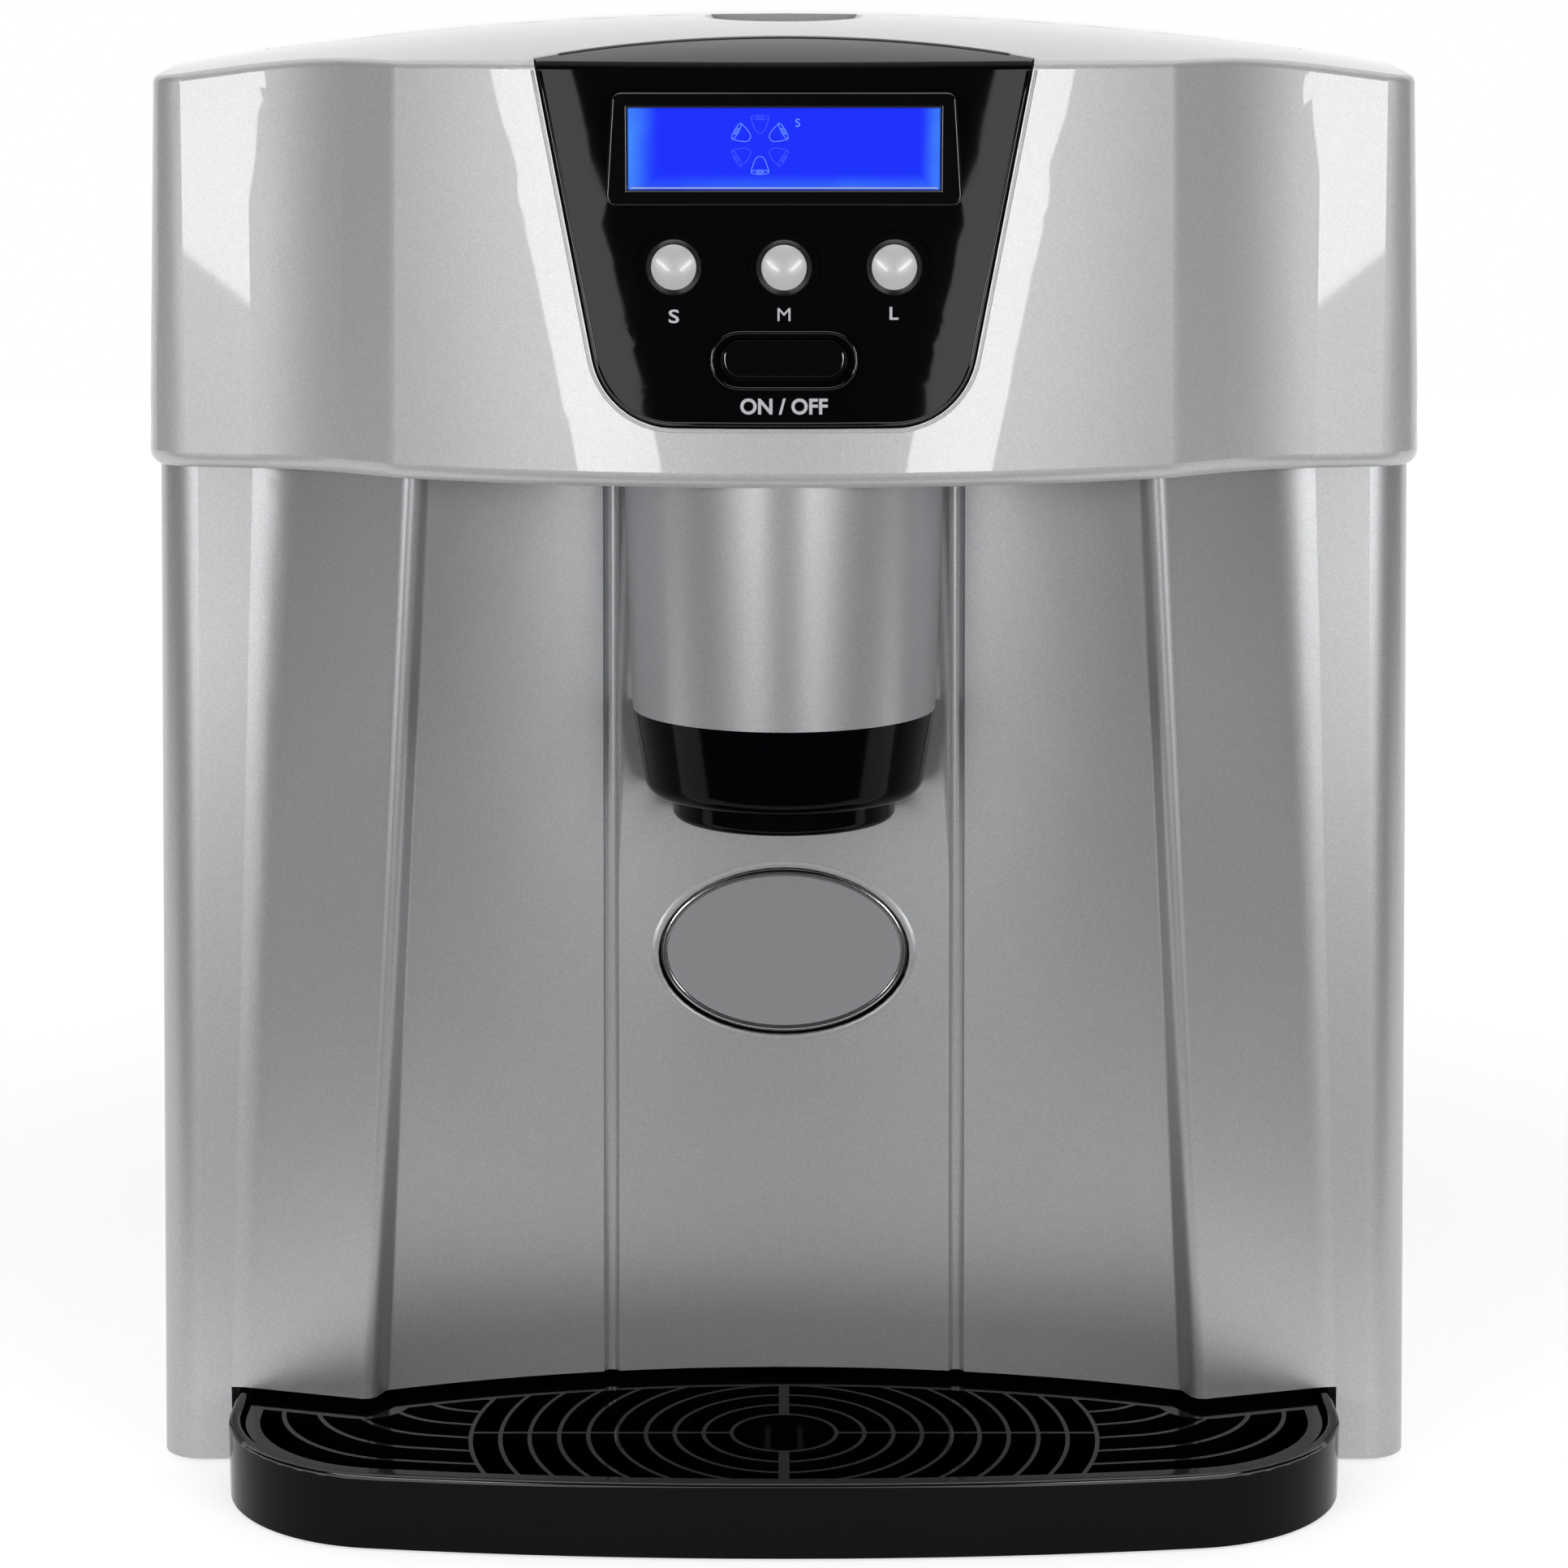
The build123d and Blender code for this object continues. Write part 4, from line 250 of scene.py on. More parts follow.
def make_paint_group():
    """Metallic flake paint: sparkling grains under a faint orange peel."""
    group, given, out = new_group("flake_paint", [
        ("Colour", COLOUR, (0.5, 0.5, 0.5, 1)), ("Flake Density", NUMBER, 2200.0),
        ("Flake Contrast", NUMBER, 0.2), ("Peel Density", NUMBER, 260.0), ("Roughness", NUMBER, 0.4),
        ("Roughness Spread", NUMBER, 0.05)], SURFACE_OUT)
    place = add(group, "ShaderNodeTexCoord").outputs["Object"]
    flakes = add(group, "ShaderNodeTexVoronoi", [("Vector", place),
                                                 ("Scale", given.outputs["Flake Density"])])
    fine = add(group, "ShaderNodeTexNoise", [("Vector", place), ("Scale", given.outputs["Flake Density"]),
                                             ("Detail", 2.0)])
    shade = add(group, "ShaderNodeSeparateColor", [("Color", flakes.outputs["Color"])])
    blend = add(group, "ShaderNodeMath", [(0, shade.outputs[0]), (1, fine.outputs["Fac"])],
                operation="MULTIPLY")
    centred = add(group, "ShaderNodeMath", [(0, blend.outputs[0]), (1, 0.25)], operation="SUBTRACT")
    sparkle = add(group, "ShaderNodeMath", [(0, centred.outputs[0]), (1, given.outputs["Flake Contrast"]),
                                            (2, 1.0)], operation="MULTIPLY_ADD")
    tint = add(group, "ShaderNodeVectorMath", [(0, given.outputs["Colour"]), ("Scale", sparkle.outputs[0])],
               operation="SCALE")
    peel = add(group, "ShaderNodeTexNoise", [("Vector", place), ("Scale", given.outputs["Peel Density"]),
                                             ("Detail", 1.0)])
    cloud = add(group, "ShaderNodeTexNoise", [("Vector", place), ("Scale", 9.0), ("Detail", 3.0)])
    spread = add(group, "ShaderNodeMath", [(0, cloud.outputs["Fac"]), (1, given.outputs["Roughness Spread"]),
                                           (2, given.outputs["Roughness"])], operation="MULTIPLY_ADD")
    group.links.new(tint.outputs["Vector"], out.inputs["Colour"])
    group.links.new(spread.outputs[0], out.inputs["Roughness"])
    group.links.new(peel.outputs["Fac"], out.inputs["Height"])
    return group


def make_moulding_group():
    """Moulded plastic, rubber or foam: fine grain, clouded gloss and settled dust."""
    group, given, out = new_group("moulded_surface", [
        ("Colour", COLOUR, (0.5, 0.5, 0.5, 1)), ("Dust Colour", COLOUR, (0.4, 0.4, 0.4, 1)),
        ("Dust", NUMBER, 0.05), ("Grain Density", NUMBER, 900.0), ("Mottle", NUMBER, 0.06),
        ("Roughness", NUMBER, 0.4), ("Roughness Spread", NUMBER, 0.08)], SURFACE_OUT)
    coords = add(group, "ShaderNodeTexCoord")
    place = coords.outputs["Object"]
    grain = add(group, "ShaderNodeTexNoise", [("Vector", place), ("Scale", given.outputs["Grain Density"]),
                                              ("Detail", 3.0)])
    cloud = add(group, "ShaderNodeTexNoise", [("Vector", place), ("Scale", 14.0), ("Detail", 4.0)])
    mottle = add(group, "ShaderNodeMapRange", [("Value", cloud.outputs["Fac"]), ("From Min", 0.3),
                                               ("From Max", 0.7), ("To Min", 1.0)])
    low = add(group, "ShaderNodeMath", [(0, 1.0), (1, given.outputs["Mottle"])], operation="SUBTRACT")
    group.links.new(low.outputs[0], mottle.inputs["To Max"])
    tint = add(group, "ShaderNodeVectorMath", [(0, given.outputs["Colour"]),
                                               ("Scale", mottle.outputs["Result"])], operation="SCALE")
    specks = add(group, "ShaderNodeTexNoise", [("Vector", place), ("Scale", 1400.0), ("Detail", 4.0)])
    facing = add(group, "ShaderNodeSeparateXYZ", [("Vector", coords.outputs["Normal"])])
    upward = add(group, "ShaderNodeMapRange", [("Value", facing.outputs["Z"]), ("From Min", 0.2),
                                               ("From Max", 1.0), ("To Min", 0.15), ("To Max", 1.0)])
    settled = add(group, "ShaderNodeMapRange", [("Value", specks.outputs["Fac"]), ("From Min", 0.52),
                                                ("From Max", 0.72)])
    film = add(group, "ShaderNodeMath", [(0, settled.outputs["Result"]), (1, upward.outputs["Result"])],
               operation="MULTIPLY")
    amount = add(group, "ShaderNodeMath", [(0, film.outputs[0]), (1, given.outputs["Dust"])],
                 operation="MULTIPLY", use_clamp=True)
    dusty = add(group, "ShaderNodeMix", data_type="RGBA")
    group.links.new(amount.outputs[0], dusty.inputs[0])
    group.links.new(tint.outputs["Vector"], dusty.inputs[6])
    group.links.new(given.outputs["Dust Colour"], dusty.inputs[7])
    spread = add(group, "ShaderNodeMath", [(0, cloud.outputs["Fac"]), (1, given.outputs["Roughness Spread"]),
                                           (2, given.outputs["Roughness"])], operation="MULTIPLY_ADD")
    rough = add(group, "ShaderNodeMath", [(0, amount.outputs[0]), (1, 0.5), (2, spread.outputs[0])],
                operation="MULTIPLY_ADD", use_clamp=True)
    group.links.new(dusty.outputs[2], out.inputs["Colour"])
    group.links.new(rough.outputs[0], out.inputs["Roughness"])
    group.links.new(grain.outputs["Fac"], out.inputs["Height"])
    return group


def make_metal_group():
    """Rolled or drawn metal: fine lines along one direction and patches of tarnish."""
    group, given, out = new_group("worked_metal", [
        ("Colour", COLOUR, (0.6, 0.6, 0.6, 1)), ("Tarnish Colour", COLOUR, (0.3, 0.3, 0.3, 1)),
        ("Tarnish", NUMBER, 0.2), ("Line Density", VECTOR, (60.0, 60.0, 3000.0)),
        ("Line Contrast", NUMBER, 0.1), ("Roughness", NUMBER, 0.3), ("Roughness Spread", NUMBER, 0.15)],
        SURFACE_OUT)
    place = add(group, "ShaderNodeTexCoord").outputs["Object"]
    drawn = add(group, "ShaderNodeVectorMath", [(0, place), (1, given.outputs["Line Density"])],
                operation="MULTIPLY")
    lines = add(group, "ShaderNodeTexNoise", [("Vector", drawn.outputs["Vector"]), ("Scale", 1.0),
                                              ("Detail", 3.0)])
    cloud = add(group, "ShaderNodeTexNoise", [("Vector", place), ("Scale", 40.0), ("Detail", 5.0)])
    stain = add(group, "ShaderNodeMapRange", [("Value", cloud.outputs["Fac"]), ("From Min", 0.45),
                                              ("From Max", 0.75)])
    amount = add(group, "ShaderNodeMath", [(0, stain.outputs["Result"]), (1, given.outputs["Tarnish"])],
                 operation="MULTIPLY", use_clamp=True)
    centred = add(group, "ShaderNodeMath", [(0, lines.outputs["Fac"]), (1, 0.5)], operation="SUBTRACT")
    streak = add(group, "ShaderNodeMath", [(0, centred.outputs[0]), (1, given.outputs["Line Contrast"]),
                                           (2, 1.0)], operation="MULTIPLY_ADD")
    tint = add(group, "ShaderNodeVectorMath", [(0, given.outputs["Colour"]), ("Scale", streak.outputs[0])],
               operation="SCALE")
    stained = add(group, "ShaderNodeMix", data_type="RGBA")
    group.links.new(amount.outputs[0], stained.inputs[0])
    group.links.new(tint.outputs["Vector"], stained.inputs[6])
    group.links.new(given.outputs["Tarnish Colour"], stained.inputs[7])
    spread = add(group, "ShaderNodeMath", [(0, lines.outputs["Fac"]), (1, given.outputs["Roughness Spread"]),
                                           (2, given.outputs["Roughness"])], operation="MULTIPLY_ADD")
    rough = add(group, "ShaderNodeMath", [(0, amount.outputs[0]), (1, 0.4), (2, spread.outputs[0])],
                operation="MULTIPLY_ADD", use_clamp=True)
    group.links.new(stained.outputs[2], out.inputs["Colour"])
    group.links.new(rough.outputs[0], out.inputs["Roughness"])
    group.links.new(lines.outputs["Fac"], out.inputs["Height"])
    return group


def surface(name, group, values, bump, **plain):
    """A material: one shared effect drives colour, roughness and bump, all else is set on the shader."""
    material = bpy.data.materials.new(name)
    material.use_nodes = True
    tree = material.node_tree
    shader = tree.nodes["Principled BSDF"]
    effect = tree.nodes.new("ShaderNodeGroup")
    effect.node_tree = group
    for label, value in values.items():
        effect.inputs[label].default_value = value
    for label, value in plain.items():
        shader.inputs[label.replace("_", " ")].default_value = value
    relief = add(tree, "ShaderNodeBump", [("Strength", 1.0), ("Distance", bump),
                                          ("Height", effect.outputs["Height"])])
    tree.links.new(effect.outputs["Colour"], shader.inputs["Base Color"])
    tree.links.new(effect.outputs["Roughness"], shader.inputs["Roughness"])
    tree.links.new(relief.outputs["Normal"], shader.inputs["Normal"])
    return material


def grey(level):
    return (level, level, level, 1)


def make_materials():
    paint, moulding, metal = make_paint_group(), make_moulding_group(), make_metal_group()
    made = {}
    made["gloss_silver"] = surface("gloss_silver", paint, {
        "Colour": (0.61, 0.615, 0.62, 1), "Flake Density": 3200.0, "Flake Contrast": 0.30,
        "Peel Density": 220.0, "Roughness": 0.48, "Roughness Spread": 0.06}, 0.000004,
        Metallic=0.55, Coat_Weight=1.0, Coat_Roughness=0.03, Coat_IOR=1.42)
    made["satin_silver"] = surface("satin_silver", paint, {
        "Colour": (0.50, 0.508, 0.52, 1), "Flake Density": 3000.0, "Flake Contrast": 0.32,
        "Peel Density": 500.0, "Roughness": 0.37, "Roughness Spread": 0.08}, 0.00001,
        Metallic=0.78, Coat_Weight=0.22, Coat_Roughness=0.16)
    made["piano_black"] = surface("piano_black", moulding, {
        "Colour": (0.003, 0.003, 0.004, 1), "Dust Colour": grey(0.25), "Dust": 0.02,
        "Grain Density": 300.0, "Mottle": 0.3, "Roughness": 0.02, "Roughness Spread": 0.04}, 0.000001,
        Specular_IOR_Level=0.08)
    made["polished_black"] = surface("polished_black", moulding, {
        "Colour": (0.003, 0.003, 0.004, 1), "Dust Colour": grey(0.25), "Dust": 0.01,
        "Grain Density": 300.0, "Mottle": 0.3, "Roughness": 0.03, "Roughness Spread": 0.04}, 0.000001,
        Specular_IOR_Level=0.9)
    made["tray_black"] = surface("tray_black", moulding, {
        "Colour": (0.0015, 0.0016, 0.0028, 1), "Dust Colour": grey(0.3), "Dust": 0.005,
        "Grain Density": 300.0, "Mottle": 0.3, "Roughness": 0.04, "Roughness Spread": 0.08}, 0.000002,
        Specular_IOR_Level=0.09)
    made["matte_black"] = surface("matte_black", moulding, {
        "Colour": (0.012, 0.012, 0.013, 1), "Dust Colour": grey(0.3), "Dust": 0.15,
        "Grain Density": 1500.0, "Mottle": 0.3, "Roughness": 0.55, "Roughness Spread": 0.1}, 0.00004)
    made["button_silver"] = surface("button_silver", moulding, {
        "Colour": (0.66, 0.66, 0.67, 1), "Dust Colour": grey(0.5), "Dust": 0.02,
        "Grain Density": 400.0, "Mottle": 0.10, "Roughness": 0.34, "Roughness Spread": 0.06}, 0.000004,
        Metallic=0.15, Coat_Weight=0.6, Coat_Roughness=0.1)
    made["rim_chrome"] = surface("rim_chrome", metal, {
        "Colour": (0.62, 0.63, 0.65, 1), "Tarnish Colour": grey(0.4), "Tarnish": 0.05,
        "Line Density": (60.0, 60.0, 60.0), "Line Contrast": 0.05, "Roughness": 0.14,
        "Roughness Spread": 0.05}, 0.0, Metallic=1.0)
    made["lever_grey"] = surface("lever_grey", moulding, {
        "Colour": (0.275, 0.278, 0.29, 1), "Dust Colour": grey(0.4), "Dust": 0.02,
        "Grain Density": 1200.0, "Mottle": 0.03, "Roughness": 0.5, "Roughness Spread": 0.05}, 0.000006)
    made["white_plastic"] = surface("white_plastic", moulding, {
        "Colour": (0.74, 0.75, 0.75, 1), "Dust Colour": grey(0.45), "Dust": 0.06,
        "Grain Density": 1100.0, "Mottle": 0.05, "Roughness": 0.38, "Roughness Spread": 0.1}, 0.00002)
    made["clear_plastic"] = surface("clear_plastic", moulding, {
        "Colour": (0.72, 0.78, 0.80, 1), "Dust Colour": grey(0.6), "Dust": 0.03,
        "Grain Density": 500.0, "Mottle": 0.03, "Roughness": 0.12, "Roughness Spread": 0.1}, 0.00001,
        Transmission_Weight=0.7, IOR=1.49)
    made["foam"] = surface("foam", moulding, {
        "Colour": (0.70, 0.66, 0.48, 1), "Dust Colour": grey(0.5), "Dust": 0.2,
        "Grain Density": 700.0, "Mottle": 0.25, "Roughness": 0.85, "Roughness Spread": 0.1}, 0.0006)
    made["rubber"] = surface("rubber", moulding, {
        "Colour": (0.02, 0.02, 0.021, 1), "Dust Colour": grey(0.35), "Dust": 0.3,
        "Grain Density": 1800.0, "Mottle": 0.3, "Roughness": 0.7, "Roughness Spread": 0.1}, 0.00006)
    made["hose"] = surface("hose", moulding, {
        "Colour": (0.62, 0.66, 0.66, 1), "Dust Colour": grey(0.5), "Dust": 0.08,
        "Grain Density": 600.0, "Mottle": 0.08, "Roughness": 0.3, "Roughness Spread": 0.1}, 0.00002,
        Subsurface_Weight=0.2)
    made["board_green"] = surface("board_green", moulding, {
        "Colour": (0.015, 0.12, 0.05, 1), "Dust Colour": grey(0.4), "Dust": 0.1,
        "Grain Density": 1500.0, "Mottle": 0.4, "Roughness": 0.35, "Roughness Spread": 0.15}, 0.00002)
    made["sheet_steel"] = surface("sheet_steel", metal, {
        "Colour": (0.42, 0.43, 0.44, 1), "Tarnish Colour": (0.24, 0.22, 0.20, 1), "Tarnish": 0.25,
        "Line Density": (3000.0, 60.0, 60.0), "Line Contrast": 0.15, "Roughness": 0.30,
        "Roughness Spread": 0.2}, 0.00001, Metallic=1.0)
    made["bright_steel"] = surface("bright_steel", metal, {
        "Colour": (0.58, 0.58, 0.58, 1), "Tarnish Colour": grey(0.3), "Tarnish": 0.15,
        "Line Density": (900.0, 900.0, 900.0), "Line Contrast": 0.1, "Roughness": 0.18,
        "Roughness Spread": 0.15}, 0.00001, Metallic=1.0)
    made["nickel"] = surface("nickel", metal, {
        "Colour": (0.66, 0.63, 0.58, 1), "Tarnish Colour": (0.40, 0.36, 0.30, 1), "Tarnish": 0.2,
        "Line Density": (200.0, 200.0, 2500.0), "Line Contrast": 0.1, "Roughness": 0.16,
        "Roughness Spread": 0.15}, 0.00001, Metallic=1.0)
    made["black_steel"] = surface("black_steel", metal, {
        "Colour": (0.02, 0.02, 0.021, 1), "Tarnish Colour": (0.06, 0.05, 0.045, 1), "Tarnish": 0.3,
        "Line Density": (700.0, 700.0, 700.0), "Line Contrast": 0.3, "Roughness": 0.35,
        "Roughness Spread": 0.15}, 0.00006, Metallic=0.3)
    made["fin_aluminium"] = surface("fin_aluminium", metal, {
        "Colour": (0.66, 0.67, 0.68, 1), "Tarnish Colour": grey(0.4), "Tarnish": 0.3,
        "Line Density": (60.0, 900.0, 3000.0), "Line Contrast": 0.2, "Roughness": 0.28,
        "Roughness Spread": 0.2}, 0.00002, Metallic=1.0)
    made["copper"] = surface("copper", metal, {
        "Colour": (0.72, 0.34, 0.20, 1), "Tarnish Colour": (0.25, 0.12, 0.07, 1), "Tarnish": 0.6,
        "Line Density": (400.0, 400.0, 400.0), "Line Contrast": 0.15, "Roughness": 0.22,
        "Roughness Spread": 0.2}, 0.00001, Metallic=1.0)
    made["label_ink"] = surface("label_ink", moulding, {
        "Colour": (0.56, 0.57, 0.59, 1), "Dust Colour": grey(0.3), "Dust": 0.03,
        "Grain Density": 2500.0, "Mottle": 0.08, "Roughness": 0.45, "Roughness Spread": 0.1}, 0.000006)
    made["lit_display"] = lit_display("lit_display")
    made["bright_segment"] = segment("bright_segment", (0.16, 0.34, 1.0), 0.95)
    made["faint_segment"] = segment("faint_segment", (0.045, 0.10, 1.0), 0.95)
    made["pale_edge"] = segment("pale_edge", (0.50, 0.52, 0.62), 0.85)
    return made


# How far the backlight leaks in from the window's ends and foot, and how strongly
LEAK_LEFT, LEAK_RIGHT, LEAK_FOOT = 0.009, 0.006, 0.005
LEAK_RIGHT_LEVEL, LEAK_FOOT_LEVEL = 0.7, 0.4
DISPLAY_BLUE, DISPLAY_PALE = (0.012, 0.030, 1.0, 1), (0.075, 0.34, 1.0, 1)


def lit_display(name):
    """The backlit display behind its window: deep blue, paler where lamps leak in at the ends and foot."""
    low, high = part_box("display_lens")
    material = bpy.data.materials.new(name)
    material.use_nodes = True
    tree = material.node_tree
    shader = tree.nodes["Principled BSDF"]
    place = add(tree, "ShaderNodeTexCoord").outputs["Object"]
    split = add(tree, "ShaderNodeSeparateXYZ", [("Vector", place)])
    left = add(tree, "ShaderNodeMapRange", [("Value", split.outputs["X"]), ("From Min", low.x),
                                            ("From Max", low.x + LEAK_LEFT), ("To Min", 1.0),
                                            ("To Max", 0.0)],
               interpolation_type="SMOOTHERSTEP")
    right = add(tree, "ShaderNodeMapRange", [("Value", split.outputs["X"]),
                                             ("From Min", high.x - LEAK_RIGHT), ("From Max", high.x),
                                             ("To Max", LEAK_RIGHT_LEVEL)],
                interpolation_type="SMOOTHERSTEP")
    foot = add(tree, "ShaderNodeMapRange", [("Value", split.outputs["Z"]), ("From Min", low.z),
                                            ("From Max", low.z + LEAK_FOOT),
                                            ("To Min", LEAK_FOOT_LEVEL), ("To Max", 0.0)],
               interpolation_type="SMOOTHERSTEP")
    cloud = add(tree, "ShaderNodeTexNoise", [("Vector", place), ("Scale", 45.0), ("Detail", 2.0)])
    ends = add(tree, "ShaderNodeMath", [(0, left.outputs["Result"]), (1, right.outputs["Result"])],
               operation="MAXIMUM")
    leak = add(tree, "ShaderNodeMath", [(0, ends.outputs[0]), (1, foot.outputs["Result"])],
               operation="MAXIMUM")
    uneven = add(tree, "ShaderNodeMath", [(0, leak.outputs[0]), (1, cloud.outputs["Fac"])],
                 operation="MULTIPLY")
    ramp = add(tree, "ShaderNodeValToRGB", [("Fac", uneven.outputs[0])])
    ramp.color_ramp.elements[0].color = DISPLAY_BLUE
    ramp.color_ramp.elements[1].color = DISPLAY_PALE
    ramp.color_ramp.elements[1].position = 0.62
    tree.links.new(ramp.outputs["Color"], shader.inputs["Emission Color"])
    shader.inputs["Emission Strength"].default_value = 0.96
    shader.inputs["Base Color"].default_value = (0.002, 0.004, 0.02, 1)
    rough = add(tree, "ShaderNodeMapRange", [("Value", cloud.outputs["Fac"]), ("To Min", 0.04),
                                             ("To Max", 0.12)])
    tree.links.new(rough.outputs["Result"], shader.inputs["Roughness"])
    return material


def segment(name, colour, level):
    """A lit mark in the display."""
    material = bpy.data.materials.new(name)
    material.use_nodes = True
    tree = material.node_tree
    shader = tree.nodes["Principled BSDF"]
    place = add(tree, "ShaderNodeTexCoord").outputs["Object"]
    cloud = add(tree, "ShaderNodeTexNoise", [("Vector", place), ("Scale", 900.0)])
    ramp = add(tree, "ShaderNodeValToRGB", [("Fac", cloud.outputs["Fac"])])
    ramp.color_ramp.elements[0].color = (*[0.75 * c for c in colour[:2]], colour[2], 1)
    ramp.color_ramp.elements[1].color = (*colour, 1)
    tree.links.new(ramp.outputs["Color"], shader.inputs["Emission Color"])
    shader.inputs["Emission Strength"].default_value = level
    shader.inputs["Base Color"].default_value = (0.01, 0.02, 0.05, 1)
    shader.inputs["Roughness"].default_value = 0.4
    return material


# Which finish each CAD node has

FINISHES = {
    "gloss_silver": ["head_shell", "head_soffit", "lid_cover"],
    "satin_silver": ["cabinet_shell", "spout_housing"],
    "piano_black": ["control_panel", "power_button"],
    "polished_black": ["display_bezel"],
    "tray_black": ["drip_tray", "drip_grille", "spout_collar", "outlet_ring"],
    "button_silver": ["button_small", "button_medium", "button_large"],
    "rim_chrome": ["dispense_lever"],
    "lever_grey": ["lever_face"],
    "lit_display": ["display_lens"],
}
SLOT_FINISHES = {
    "black_matte": "matte_black", "display_works": "matte_black", "white_plastic": "white_plastic",
    "clear_plastic": "clear_plastic", "foam": "foam", "rubber": "rubber", "hose": "hose",
    "sheet_steel": "sheet_steel", "steel": "bright_steel", "nickel": "nickel",
    "black_steel": "black_steel", "fin_aluminium": "fin_aluminium", "copper": "copper",
    "green_board": "board_green",
}


def dress_nodes(made):
    """Gives every CAD node its finish and notes which slot of the record each node wears."""
    chosen = {node: finish for finish, names in FINISHES.items() for node in names}
    slots = {}
    for name, piece in nodes.items():
        for place in piece.material_slots:
            slots[name] = place.material.name
            finish = chosen.get(name) or SLOT_FINISHES[slots[name]]
            place.material = made[finish]
    return slots


# Helpers for the pieces made here

def add_piece(name, mesh, material, body):
    piece = bpy.data.objects.new(name, mesh)
    mesh.materials.clear()
    mesh.materials.append(material)
    bpy.context.scene.collection.objects.link(piece)
    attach(piece, body)
    return piece


def keep_flat_faces(piece, degrees):
    """Smooth shading that leaves flat faces flat beside their rounded edges."""
    piece.data.set_sharp_from_angle(angle=math.radians(degrees))
    weigh = piece.modifiers.new("weighted_normals", "WEIGHTED_NORMAL")
    weigh.keep_sharp = True


def struck(node, start, way):
    """Where a ray first meets a node."""
    return nodes[node].ray_cast(start, way)[1]


def front_at(node, x, z):
    """The depth of a node's front face at a place."""
    return struck(node, Vector((x, -1.0, z)), Vector((0, 1, 0))).y


def top_at(node, x, y):
    """The height of a node's deck at a place."""
    return struck(node, Vector((x, y, 1.0)), Vector((0, 0, -1))).z


def to_mesh(name, curve):
    holder = bpy.data.objects.new(name + "_curve", curve)
    bpy.context.scene.collection.objects.link(holder)
    bpy.context.view_layer.update()
    mesh = bpy.data.meshes.new_from_object(holder.evaluated_get(bpy.context.evaluated_depsgraph_get()))
    bpy.data.objects.remove(holder)
    mesh.name = name
    return mesh


def line_curve(name, lines, radius, sides):
    """Thin rounded lines through places, each open or closed."""
    curve = bpy.data.curves.new(name, "CURVE")
    curve.dimensions = "3D"
    curve.bevel_depth = radius
    curve.bevel_resolution = sides
    for points, closed in lines:
        spline = curve.splines.new("POLY")
        spline.points.add(len(points) - 1)
        for point, place in zip(spline.points, points):
            point.co = (*place, 1)
        spline.use_cyclic_u = closed
    return curve


def bead(name, points, radius, body, material, closed=True):
    """A thin rounded moulding along a line."""
    curve = line_curve(name, [(points, closed)], radius, 2)
    curve.use_fill_caps = not closed
    mesh = to_mesh(name, curve)
    for face in mesh.polygons:
        face.use_smooth = True
    add_piece(name, mesh, material, body)


def obround(width, height, x, y, z):
    """Places along a stadium shape that faces the front."""
    radius = height / 2
    points = []
    for side in (1, -1):
        for step in range(13):
            angle = side * math.pi / 2 - step / 12 * math.pi
            points.append(Vector((x + side * (width / 2 - radius) + radius * math.cos(angle), y,
                                  z + radius * math.sin(angle))))
    return points


def ring(radius, x, y, z, across=None):
    """Places along a circle, or an ellipse of another half width, that faces the front."""
    return [Vector((x + (across or radius) * math.cos(a), y, z + radius * math.sin(a)))
            for a in [step * math.pi / 24 for step in range(48)]]


# Lettering on the panel: words, x, z, width, height and what is added to the strokes

PRINT_LIFT = 0.00005
BUTTON_X = {"small": -0.0291, "medium": 0.0, "large": 0.0291}
LABELS = {
    "label_small": ("S", BUTTON_X["small"], 0.3352, 0.0028, 0.0036, 0.00008),
    "label_medium": ("M", BUTTON_X["medium"], 0.3358, 0.0034, 0.0034, 0.0),
    "label_large": ("L", BUTTON_X["large"], 0.3360, 0.0024, 0.0034, 0.00008),
    "label_power": ("ON / OFF", 0.0, 0.3116, 0.0232, 0.0043, 0.00017),
}


def text_mesh(name, words, width, height, weight):
    """Upright lettering around the origin, x to the right and y up, of a given width and height."""
    curve = bpy.data.curves.new(name, "FONT")
    curve.body = words
    curve.size = 1.0
    curve.align_x = "CENTER"
    curve.resolution_u = 4
    mesh = to_mesh(name + "_size", curve)
    tall = max(v.co.y for v in mesh.vertices) - min(v.co.y for v in mesh.vertices)
    curve.offset = weight / (height / tall)
    mesh = to_mesh(name, curve)
    xs = [v.co.x for v in mesh.vertices]
    ys = [v.co.y for v in mesh.vertices]
    fit = Matrix.Diagonal((width / (max(xs) - min(xs)), height / (max(ys) - min(ys)), 1, 1))
    mesh.transform(fit @ Matrix.Translation((-(max(xs) + min(xs)) / 2, -(max(ys) + min(ys)) / 2, 0)))
    return mesh


def make_label(name, words, x, z, width, height, weight, material):
    """Printed lettering that lies on the curved panel."""
    mesh = text_mesh(name, words, width, height, weight)
    for vertex in mesh.vertices:
        place_x, place_z = x + vertex.co.x, z + vertex.co.y
        vertex.co = (place_x, front_at("control_panel", place_x, place_z) - PRINT_LIFT, place_z)
    add_piece(name, mesh, material, "cabinet")


# Marks in the display: a ring of six ice cubes, the chosen size and the pale foot of the backlight

